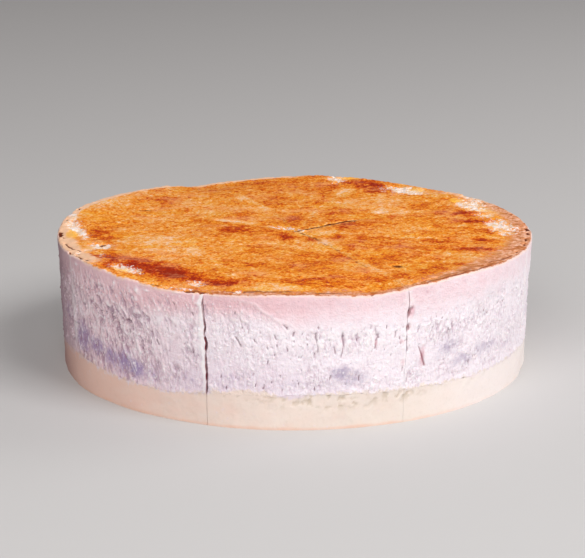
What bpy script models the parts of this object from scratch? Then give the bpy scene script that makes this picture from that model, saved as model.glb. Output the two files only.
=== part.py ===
import math
from collections import namedtuple

import bmesh
import bpy
from mathutils import Vector, noise

MM = 0.001

# The whole cake: an eight inch round, measured over the rim of its top.
CAKE_RADIUS = 100.0 * MM
CAKE_HEIGHT = 55.0 * MM
FOOT_TO_RIM = 0.979
BASE_HEIGHT = 13.0 * MM
LAYER_GAP = 0.4 * MM
RIM_ROUNDING = 2.0 * MM

# The knife marks: where they cross, half their width, and how far each one strays.
CUT_CENTRE = Vector((0.8 * MM, -1.7 * MM))
HALF_CUT = 0.25 * MM
CUT_STRAY = 0.3 * MM
CUT_STRAY_SIZE = 22.0 * MM
CUT_DIP = 0.5 * MM
GAPE_HEIGHT = 31.0 * MM
GAPE_SPAN = 9.0 * MM

# A knife mark is a radius of the cake. The angle at the rim is in degrees, from the
# front round to the right. The bow is its sideways curve, greatest at the share of its
# length given next. The last two widen it near the middle of the top and at the wall.
Cut = namedtuple("Cut", "angle bow bow_at inner_gape wall_gape")
CUTS = (
    Cut(-65.5, 0.0, 0.5, 0.0, 0.10 * MM),
    Cut(-20.3, 0.3 * MM, 0.5, 0.0, 0.30 * MM),
    Cut(25.5, 2.8 * MM, 0.35, 0.05 * MM, 0.10 * MM),
    Cut(73.0, 3.6 * MM, 0.6, 0.05 * MM, 0.10 * MM),
    Cut(121.0, 2.2 * MM, 0.4, 0.45 * MM, 0.05 * MM),
    Cut(162.0, 1.5 * MM, 0.35, 0.0, 0.05 * MM),
    Cut(204.0, -4.2 * MM, 0.35, 0.05 * MM, 0.05 * MM),
    Cut(246.0, -3.0 * MM, 0.4, 0.15 * MM, 0.05 * MM),
)

# Slice i lies between cut i and the next one round. The lift is how much higher
# than the others its outer edge stands.
Slice = namedtuple("Slice", "name lift")
SLICES = (
    Slice("front_left", 0.0),
    Slice("front", 0.0),
    Slice("front_right", 0.4 * MM),
    Slice("right", 0.1 * MM),
    Slice("back_right", 0.0),
    Slice("back", 0.0),
    Slice("back_left", 0.0),
    Slice("left", 0.1 * MM),
)

# Rises and sinks, each an angle round the cake, a half width in degrees and a height.
Swell = namedtuple("Swell", "angle width height")
RIM_SWELLS = (
    Swell(-112.0, 15.0, 1.6 * MM),
    Swell(-153.0, 4.0, -1.6 * MM),
    Swell(-163.0, 6.0, -0.8 * MM),
    Swell(169.0, 7.0, 0.7 * MM),
    Swell(143.0, 8.0, -0.8 * MM),
    Swell(-57.0, 6.0, 1.0 * MM),
    Swell(-25.0, 9.0, -1.1 * MM),
    Swell(17.0, 6.5, -1.3 * MM),
    Swell(44.0, 12.0, 1.2 * MM),
)
SEAM_SWELLS = (
    Swell(-34.0, 11.0, -1.4 * MM),
    Swell(3.0, 11.0, 1.3 * MM),
    Swell(-62.0, 9.0, 1.0 * MM),
    Swell(130.0, 20.0, 0.9 * MM),
)
RIM_BAND = (0.72, 0.97)
SEAM_BAND = (0.60, 0.95)

# Uneven surfaces: how deep the unevenness is, and how long its waves are.
TOP_WAVE_DEPTH = 0.5 * MM
TOP_WAVE_SIZE = 26.0 * MM
WALL_LUMP_DEPTH = 0.5 * MM
WALL_LUMP_SIZE = 19.0 * MM
TEAR_DEPTH = 0.45 * MM
TEAR_SIZE = 8.0 * MM
TEAR_STRETCH = 0.4
SEAM_WAVE_DEPTH = 0.5 * MM
SEAM_WAVE_SIZE = 14.0 * MM

# The grid of each block before it is bent: steps across the slice, shares of the way
# from its point to the wall, and shares of the way up each layer.
STEPS_ACROSS = 20
STEPS_OUT = (0.0, 0.3, 0.6, 0.84, 0.97, 1.0)
BATTER_STEPS_UP = (0.0, 0.10, 0.20, 0.30, 0.40, 0.50, 0.60, 0.70, 0.79, 0.87, 0.94, 1.0)
BASE_STEPS_UP = (0.0, 0.35, 0.70, 1.0)
SMALLEST_EDGE = 0.05 * MM


def clear_scene():
    for old in list(bpy.data.objects):
        bpy.data.objects.remove(old, do_unlink=True)


def make_collection(name):
    collection = bpy.data.collections.new(name)
    bpy.context.scene.collection.children.link(collection)
    return collection


def make_material(name, colour, roughness):
    material = bpy.data.materials.new(name)
    material.use_nodes = True
    shader = material.node_tree.nodes["Principled BSDF"]
    shader.inputs["Base Color"].default_value = colour
    shader.inputs["Roughness"].default_value = roughness
    shader.inputs["Metallic"].default_value = 0.0
    material.diffuse_color = colour
    return material


def yam_batter_material():
    return make_material("yam batter", (0.82, 0.68, 0.72, 1.0), 0.55)


def sponge_base_material():
    return make_material("sponge base", (0.84, 0.68, 0.54, 1.0), 0.75)


def smooth_step(value, start, end):
    share = min(max((value - start) / (end - start), 0.0), 1.0)
    return share * share * (3.0 - 2.0 * share)


def outward(angle):
    turn = math.radians(angle)
    return Vector((math.sin(turn), -math.cos(turn)))


def sideways(angle):
    turn = math.radians(angle)
    return Vector((math.cos(turn), math.sin(turn)))


def swell_at(swells, angle):
    height = 0.0
    for swell in swells:
        away = (angle - swell.angle + 180.0) % 360.0 - 180.0
        height += swell.height * math.exp(-0.5 * (away / swell.width) ** 2)
    return height


def wave(x, y, z, size, depth):
    return depth * noise.noise(Vector((x, y, z)) / size)


# The pan's wall widens upward. Lumps and upright torn marks stand out of it.
def wall_radius(angle, height):
    taper = FOOT_TO_RIM + (1.0 - FOOT_TO_RIM) * height / CAKE_HEIGHT
    spot = outward(angle) * CAKE_RADIUS
    lumps = wave(spot.x, spot.y, height, WALL_LUMP_SIZE, WALL_LUMP_DEPTH)
    tears = wave(spot.x, spot.y, height * TEAR_STRETCH, TEAR_SIZE, TEAR_DEPTH)
    return CAKE_RADIUS * taper + lumps + tears


def top_height(piece, spot, angle):
    near_rim = smooth_step(spot.length / CAKE_RADIUS, *RIM_BAND)
    rim = swell_at(RIM_SWELLS, angle) + piece.lift
    waves = wave(spot.x, spot.y, CAKE_HEIGHT, TOP_WAVE_SIZE, TOP_WAVE_DEPTH)
    return CAKE_HEIGHT + rim * near_rim + waves


def seam_height(spot, angle):
    near_wall = smooth_step(spot.length / CAKE_RADIUS, *SEAM_BAND)
    waves = wave(spot.x, spot.y, BASE_HEIGHT, SEAM_WAVE_SIZE, SEAM_WAVE_DEPTH)
    return BASE_HEIGHT + (swell_at(SEAM_SWELLS, angle) + waves) * near_wall


# How far a cut's line lies to the side of the straight radius, at a share of its length.
def cut_shift(cut, number, share, height):
    power = math.log(0.5) / math.log(cut.bow_at)
    bow = cut.bow * math.sin(math.pi * share**power) * smooth_step(share, 0.0, 0.2)
    stray = wave(number * 0.5, share * CAKE_RADIUS, height, CUT_STRAY_SIZE, CUT_STRAY)
    return bow + stray * smooth_step(share, 0.0, 0.15)


# How much wider than the knife each side of the cut stands open.
def cut_gape(cut, share, height):
    near_middle = smooth_step(share, 0.02, 0.1) * (1.0 - smooth_step(share, 0.2, 0.34))
    high = smooth_step(height, CAKE_HEIGHT * 0.6, CAKE_HEIGHT * 0.95)
    away = (height - GAPE_HEIGHT) / GAPE_SPAN
    near_wall = smooth_step(share, 0.85, 1.0) * math.exp(-away * away)
    return cut.inner_gape * near_middle * high + cut.wall_gape * near_wall


# The square edge between wall and top is drawn in to a quarter round.
def round_rim(from_wall, from_top):
    inward = RIM_ROUNDING - from_wall
    down = RIM_ROUNDING - from_top
    if inward <= 0.0 or down <= 0.0:
        return from_wall, from_top
    draw = max(inward, down) / math.hypot(inward, down)
    return RIM_ROUNDING - inward * draw, RIM_ROUNDING - down * draw


# Finds the point of slice `number` that is this share of the way across it, out from
# its point and up its layer. The layer's floor and roof are functions of the spot.
def slice_point(number, floor, roof, across, out, up):
    piece = SLICES[number]
    first = CUTS[number]
    second_number = (number + 1) % len(CUTS)
    second = CUTS[second_number]
    turn = (second.angle - first.angle) % 360.0
    angle = first.angle + turn * across
    tip = CUT_CENTRE + outward(first.angle + turn / 2) * HALF_CUT / math.sin(
        math.radians(turn / 2)
    )

    def spread(share, height):
        left = cut_shift(first, number, share, height) + cut_gape(first, share, height)
        right = cut_shift(second, second_number, share, height)
        right -= cut_gape(second, share, height)
        to_left = sideways(first.angle) * left * (1.0 - across)
        return to_left + sideways(second.angle) * right * across

    knife = sideways(first.angle) * HALF_CUT * (1.0 - across)
    knife -= sideways(second.angle) * HALF_CUT * across
    plain_rim = outward(angle) * CAKE_RADIUS + knife
    plain = tip + (plain_rim - tip) * out
    low = floor(piece, plain, angle)
    high = roof(piece, plain, angle)
    height = low + (high - low) * up
    edge = min(across, 1.0 - across)
    if roof is top_height and edge == 0.0:
        height -= CUT_DIP * up * smooth_step(out, 0.0, 0.3)
    rim = outward(angle) * wall_radius(angle, height) + knife
    reach = (rim - tip).length
    from_wall = reach * (1.0 - out)
    if roof is top_height:
        from_wall, from_top = round_rim(from_wall, high - height)
        height = high - from_top
    share = 1.0 - from_wall / reach
    spot = tip + (rim - tip) * share + spread(out, height)
    return Vector((spot.x, spot.y, height))


# Cuts the block's edges that run along one axis into the given shares.
def divide(bm, axis, shares):
    edges = []
    for edge in bm.edges:
        if abs(edge.verts[0].co[axis] - edge.verts[1].co[axis]) > 0.5:
            edges.append(edge)
    count = len(shares) - 1
    bmesh.ops.subdivide_edges(bm, edges=edges, cuts=count - 1, use_grid_fill=True)
    for vertex in bm.verts:
        vertex.co[axis] = shares[round(vertex.co[axis] * count)]


# A unit block with one corner at the origin, divided, bent into a slice and closed up
# along the sharp edge where its two cut faces meet.
def make_slice_layer(number, label, floor, roof, steps_up, material, collection):
    bm = bmesh.new()
    bmesh.ops.create_cube(bm, size=1.0)
    bmesh.ops.translate(bm, verts=bm.verts, vec=(0.5, 0.5, 0.5))
    steps_across = [step / STEPS_ACROSS for step in range(STEPS_ACROSS + 1)]
    for axis, shares in enumerate((steps_across, STEPS_OUT, steps_up)):
        divide(bm, axis, shares)
    for vertex in bm.verts:
        vertex.co = slice_point(number, floor, roof, *vertex.co)
    bmesh.ops.remove_doubles(bm, verts=bm.verts, dist=SMALLEST_EDGE)
    bmesh.ops.recalc_face_normals(bm, faces=bm.faces)
    name = label + "_" + SLICES[number].name
    mesh = bpy.data.meshes.new(name)
    bm.to_mesh(mesh)
    bm.free()
    mesh.shade_smooth()
    mesh.set_sharp_from_angle(angle=math.radians(40.0))
    mesh.materials.append(material)
    layer = bpy.data.objects.new(name, mesh)
    collection.objects.link(layer)
    return layer


def make_yam_batter(number, material, collection):
    def floor(piece, spot, angle):
        return seam_height(spot, angle) + LAYER_GAP / 2

    return make_slice_layer(
        number, "yam_batter", floor, top_height, BATTER_STEPS_UP, material, collection
    )


def make_sponge_base(number, material, collection):
    def floor(piece, spot, angle):
        return 0.0

    def roof(piece, spot, angle):
        return seam_height(spot, angle) - LAYER_GAP / 2

    return make_slice_layer(
        number, "sponge_base", floor, roof, BASE_STEPS_UP, material, collection
    )


def make_cake():
    clear_scene()
    collection = make_collection("Purple yam cheesecake")
    batter = yam_batter_material()
    sponge = sponge_base_material()
    for number in range(len(SLICES)):
        make_yam_batter(number, batter, collection)
        make_sponge_base(number, sponge, collection)


make_cake()
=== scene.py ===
import math

import bpy
import numpy as np
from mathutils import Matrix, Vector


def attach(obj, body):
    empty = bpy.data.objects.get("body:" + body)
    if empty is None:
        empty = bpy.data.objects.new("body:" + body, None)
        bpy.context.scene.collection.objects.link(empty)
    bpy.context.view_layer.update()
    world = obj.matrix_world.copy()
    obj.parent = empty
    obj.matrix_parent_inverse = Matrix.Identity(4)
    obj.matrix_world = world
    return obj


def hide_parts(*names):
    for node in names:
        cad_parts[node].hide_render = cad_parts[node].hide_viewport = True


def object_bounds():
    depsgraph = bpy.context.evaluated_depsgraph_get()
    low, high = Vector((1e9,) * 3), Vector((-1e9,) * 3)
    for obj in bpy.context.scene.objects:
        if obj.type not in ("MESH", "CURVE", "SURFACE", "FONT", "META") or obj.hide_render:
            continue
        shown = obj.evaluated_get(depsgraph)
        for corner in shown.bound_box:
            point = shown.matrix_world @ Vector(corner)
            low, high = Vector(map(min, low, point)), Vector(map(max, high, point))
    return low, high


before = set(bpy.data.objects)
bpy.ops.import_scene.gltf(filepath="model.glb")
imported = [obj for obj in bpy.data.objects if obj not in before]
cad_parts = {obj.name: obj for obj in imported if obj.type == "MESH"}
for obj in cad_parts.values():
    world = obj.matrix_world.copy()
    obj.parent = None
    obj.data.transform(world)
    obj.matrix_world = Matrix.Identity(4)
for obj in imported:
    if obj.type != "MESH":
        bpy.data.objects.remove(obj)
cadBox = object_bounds()
print("frame loaded:", len(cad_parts), "nodes")

mm = 0.001  # every length below is in millimetres until a mesh is made

cake = {
    "radius": 100.0,
    "height": 55.0,
    "footToRim": 0.979,
    "baseHeight": 13.0,
    "rimRounding": 1.0,
    "seamGap": 0.03,
    "centre": (0.8, -1.7),
    "closedCut": 0.03,
    "cutLength": 98.0,  # the noise along a cut is laid out over this length
}

# Angles in degrees round the cake, counted from the front to the right. The bow is the knife
# line's own curve seen from above. wander and open are (height, amount) down the wall,
# openTop, line and pale are (share of the radius, amount) on the top.
cuts = [
    {
        "angle": -65.5, "bow": 0.0, "bowAt": 0.5, "strip": (0.7, 0.5),
        "wander": [(0, 0.1), (20, -0.2), (40, 0.2), (55, 0)],
        "open": [(13, 0.02), (25, 0.06), (40, 0.06), (50, 0.02)],
        "openTop": [(0, 0)],
        "line": [(0, 0.2), (0.1, 0.0), (1, 0.1)],
        "pale": [(0, 0.2), (0.2, 0), (1, 0)],
    },
    {
        "angle": -20.3, "bow": 0.3, "bowAt": 0.5, "strip": (1.3, 0.0),
        "wander": [
            (0, 0.1), (13, 0.1), (16, 0.4), (21, 0.5), (29, 0.0), (34, 0.65), (37.5, -0.3), (40.5, 0.2),
            (44.5, -0.5), (49.5, -1.0), (52.5, -0.5), (56, -0.5),
        ],
        "open": [
            (0, 0.05), (12, 0.05), (14, 0.18), (20, 0.28), (26, 0.22), (30.5, 0.2), (32, 0.4),
            (35.6, 0.38), (36.6, 0.15), (38, 0.14), (40, 0.26), (44, 0.2), (51, 0.17), (53.0, 0.02),
        ],
        "openTop": [(0, 0)],
        "line": [(0, 0.2), (0.1, 0.0), (1, 0.1)],
        "pale": [(0, 0.2), (0.2, 0), (1, 0)],
    },
    {
        "angle": 25.5, "bow": 2.8, "bowAt": 0.35, "paintedShadeShare": 0.7, "strip": (0.4, 0.4),
        "wander": [
            (0, 0.2), (20, 0.4), (30, 0.9), (39, 0.8), (45, 1.2), (49, 1.6), (54, 1.1), (56, 0.7),
        ],
        "open": [
            (13, 0.01), (19, 0.02), (20.5, 0.08), (22, 0.02), (28.5, 0.03), (30, 0.15), (35.5, 0.16),
            (36.3, 0.02), (36.8, 0.03), (37.6, 0.22), (39.0, 0.2), (40.2, 0.04), (42.6, 0.08),
            (43.8, 0.2), (46.2, 0.2), (47.4, 0.14), (53, 0.12), (54.5, 0.02),
        ],
        "openTop": [
            (0.02, 0.02), (0.05, 0.07), (0.2, 0.05), (0.23, 0.02), (0.5, 0.04), (0.7, 0.03), (0.75, 0),
        ],
        "line": [
            (0, 0.6), (0.03, 0.62), (0.2, 0.62), (0.24, 0.3), (0.35, 0.25), (0.5, 0.1), (0.74, 0),
            (1, 0),
        ],
        "pale": [(0, 0.6), (0.2, 0.5), (0.3, 0.3), (0.35, 0.35), (0.6, 0.55), (0.85, 0.4), (1, 0.1)],
    },
    {
        "angle": 73.0, "bow": 3.6, "bowAt": 0.6, "strip": (0.5, 0.4),
        "wander": [(0, 0), (25, 0.3), (45, -0.2), (55, 0)],
        "open": [(13, 0.02), (30, 0.08), (48, 0.02)],
        "openTop": [(0.3, 0), (0.38, 0.03), (0.7, 0.05), (0.75, 0)],
        "line": [(0, 0.1), (0.3, 0.2), (0.37, 0.6), (0.7, 0.6), (0.75, 0.1), (1, 0.05)],
        "pale": [(0, 0.3), (0.2, 0.2), (0.36, 0.5), (0.68, 0.5), (0.74, 0.1), (1, 0)],
    },
    {
        "angle": 121.0, "bow": 2.2, "bowAt": 0.4, "strip": (0.8, 0.3),
        "wander": [(0, 0), (20, -0.4), (40, 0.3), (55, 0)],
        "open": [(13, 0.04), (24, 0.2), (44, 0.12), (52, 0.05)],
        "openTop": [
            (0.02, 0.1), (0.06, 0.45), (0.13, 0.4), (0.18, 0.7), (0.27, 0.6), (0.31, 0.06), (0.5, 0.04),
            (0.6, 0),
        ],
        "line": [
            (0, 0.6), (0.05, 0.9), (0.12, 1.0), (0.17, 1.5), (0.29, 1.4), (0.33, 0.6), (0.45, 0.45),
            (0.6, 0.3), (0.7, 0), (1, 0),
        ],
        "pale": [(0, 0.5), (0.1, 0.4), (0.3, 0.4), (0.45, 0.3), (0.6, 0.05), (1, 0)],
    },
    {
        "angle": 162.0, "bow": 1.5, "bowAt": 0.35, "strip": (0.3, 0.9),
        "wander": [(0, 0.2), (25, -0.3), (55, 0.1)],
        "open": [(13, 0.04), (30, 0.16), (50, 0.06)],
        "openTop": [(0, 0)],
        "line": [(0, 0.1), (1, 0.05)],
        "pale": [(0, 0.2), (0.25, 0.35), (0.5, 0.4), (0.75, 0.35), (0.82, 0.1), (1, 0)],
    },
    {
        "angle": 204.0, "bow": -4.2, "bowAt": 0.35, "strip": (0.8, 0.3),
        "wander": [(0, -0.2), (25, 0.3), (55, 0)],
        "open": [(13, 0.04), (34, 0.14), (50, 0.06)],
        "openTop": [(0, 0)],
        "line": [(0, 0.1), (0.3, 0.2), (0.7, 0.15), (0.8, 0), (1, 0)],
        "pale": [(0, 0.1), (0.3, 0.3), (0.7, 0.4), (0.75, 0.05), (1, 0)],
    },
    {
        "angle": 246.0, "bow": -3.0, "bowAt": 0.4, "strip": (0.4, 0.8),
        "wander": [(0, 0), (30, -0.3), (55, 0.2)],
        "open": [(13, 0.04), (28, 0.18), (50, 0.05)],
        "openTop": [(0.03, 0.08), (0.1, 0.12), (0.14, 0.02), (0.3, 0.04), (0.4, 0)],
        "line": [(0, 0.5), (0.1, 0.4), (0.2, 0.3), (0.38, 0.35), (0.45, 0), (1, 0)],
        "pale": [(0, 0.3), (0.1, 0.2), (0.19, 0.1), (0.23, 0.6), (0.38, 0.6), (0.43, 0.05), (1, 0)],
    },
]
slices = ["front_left", "front", "front_right", "right", "back_right", "back", "back_left", "left"]
sliceLift = [0.0, 0.0, 0.1, 0.1, 0.0, 0.0, 0.0, 0.1]

# rises and sinks: (angle, half width in degrees, height)
rimSwells = [
    (-112, 15, 1.6), (-153, 4, -1.6), (-163, 6, -0.8), (169, 7, 0.7), (143, 8, -0.8), (-57, 6, 1.0),
    (-25, 9, -1.1), (17, 6.5, -1.3), (44, 12, 1.2),
]
seam = {
    "swells": [(-18, 4.5, 1.2), (-34, 11, -1.4), (3, 11, 1.3), (-62, 9, 1.0), (130, 20, 0.9)],
    "colourSwells": [
        (-86, 9, -2.0), (-11, 5.5, 2.0), (-0.5, 2.4, -2.0), (9, 5, 0.8), (26, 8, 0.8), (130, 9, 1.2),
        (170, 6, -1.5), (220, 8, 1.4),
    ],
    "blur": 2.0,  # half of the height over which the two tones meet
    "blurExtra": 3.0,  # on the left they meet more softly
    "blurAt": (-66, 26),  # places as (angle, width in degrees)
    "warmLeft": (-75, 50),
    "warmBack": (170, 50),
}


def rise(value, start, end):  # 0 below start, 1 above end, smooth between them
    share = np.clip((value - start) / (end - start), 0.0, 1.0)
    return share * share * (3.0 - 2.0 * share)


def between(value, start, full, fading, end):  # 1 from full to fading, 0 outside start and end
    return rise(value, start, full) * (1 - rise(value, fading, end))


def bell(value, width):  # 1 at zero, fading out past the width
    return np.exp(-((value / width) ** 2))


def cellValue(ix, iy, seed):  # a fixed number from 0 to 1 for each cell of a grid
    n = (ix * 73856093) ^ (iy * 19349663) ^ (seed * 83492791)
    n = n & 0x7FFFFFFF
    n = ((n ^ (n >> 15)) * 668265261) & 0x7FFFFFFF
    n = ((n ^ (n >> 13)) * 374761393) & 0x7FFFFFFF
    return (n ^ (n >> 16)) / 0x7FFFFFFF


def cells(x, y, size):
    x, y = x / size, y / size
    return x, y, np.floor(x).astype(np.int64), np.floor(y).astype(np.int64)


def softNoise(x, y, size, seed):  # from -1 to 1
    x, y, ix, iy = cells(x, y, size)
    fx, fy = x - ix, y - iy
    fx = fx * fx * fx * (fx * (fx * 6 - 15) + 10)
    fy = fy * fy * fy * (fy * (fy * 6 - 15) + 10)
    low = cellValue(ix, iy, seed) * (1 - fx) + cellValue(ix + 1, iy, seed) * fx
    high = cellValue(ix, iy + 1, seed) * (1 - fx) + cellValue(ix + 1, iy + 1, seed) * fx
    return 2 * (low * (1 - fy) + high * fy) - 1


def layeredNoise(x, y, size, seed, layers=3, fade=0.55):
    total, weight, weights = 0.0, 1.0, 0.0
    for layer in range(layers):
        total = total + weight * softNoise(x, y, size, seed + 31 * layer)
        weights += weight
        x, y = 0.8 * x - 0.6 * y + 3.1, 0.6 * x + 0.8 * y - 1.7
        size, weight = size * 0.5, weight * fade
    return total / weights * 1.5


def scatteredSpots(x, y, size, seed):  # distance to the nearest scattered point, its own number
    x, y, ix, iy = cells(x, y, size)
    best, own = np.full(x.shape, 9.0), np.zeros(x.shape)
    for dx in (-1, 0, 1):
        for dy in (-1, 0, 1):
            px = ix + dx + cellValue(ix + dx, iy + dy, seed)
            py = iy + dy + cellValue(ix + dx, iy + dy, seed + 1)
            away = np.hypot(px - x, py - y)
            own = np.where(away < best, cellValue(ix + dx, iy + dy, seed + 2), own)
            best = np.minimum(best, away)
    return best * size, own


def turned(angle, middle=0.0):  # how far an angle is from the middle, either way round
    return (angle - middle + 180.0) % 360.0 - 180.0


def near(angle, place):  # 1 in the middle of a place given as (angle, width in degrees)
    middle, width = place
    return bell(turned(angle, middle), width)


def arc(angle):  # an angle as a length round the rim
    return np.radians(angle) * cake["radius"]


def swell(swells, angle):
    return sum(
        height * np.exp(-0.5 * (turned(angle, middle) / width) ** 2)
        for middle, width, height in swells
    )


def zones(spots, angle, height):
    total = np.zeros(angle.shape)
    for middle, level, width, tall, strength in spots:
        spot = np.exp(-((turned(angle, middle) / width) ** 2) - ((height - level) / tall) ** 2)
        total = np.maximum(total, strength * spot)
    return total


def alongKnots(value, knots):
    return np.interp(value, [k[0] for k in knots], [k[1] for k in knots])


def outward(angle):
    turn = np.radians(angle)
    return np.stack([np.sin(turn), -np.cos(turn)], axis=-1)


def sideways(angle):
    turn = np.radians(angle)
    return np.stack([np.cos(turn), np.sin(turn)], axis=-1)


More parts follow.
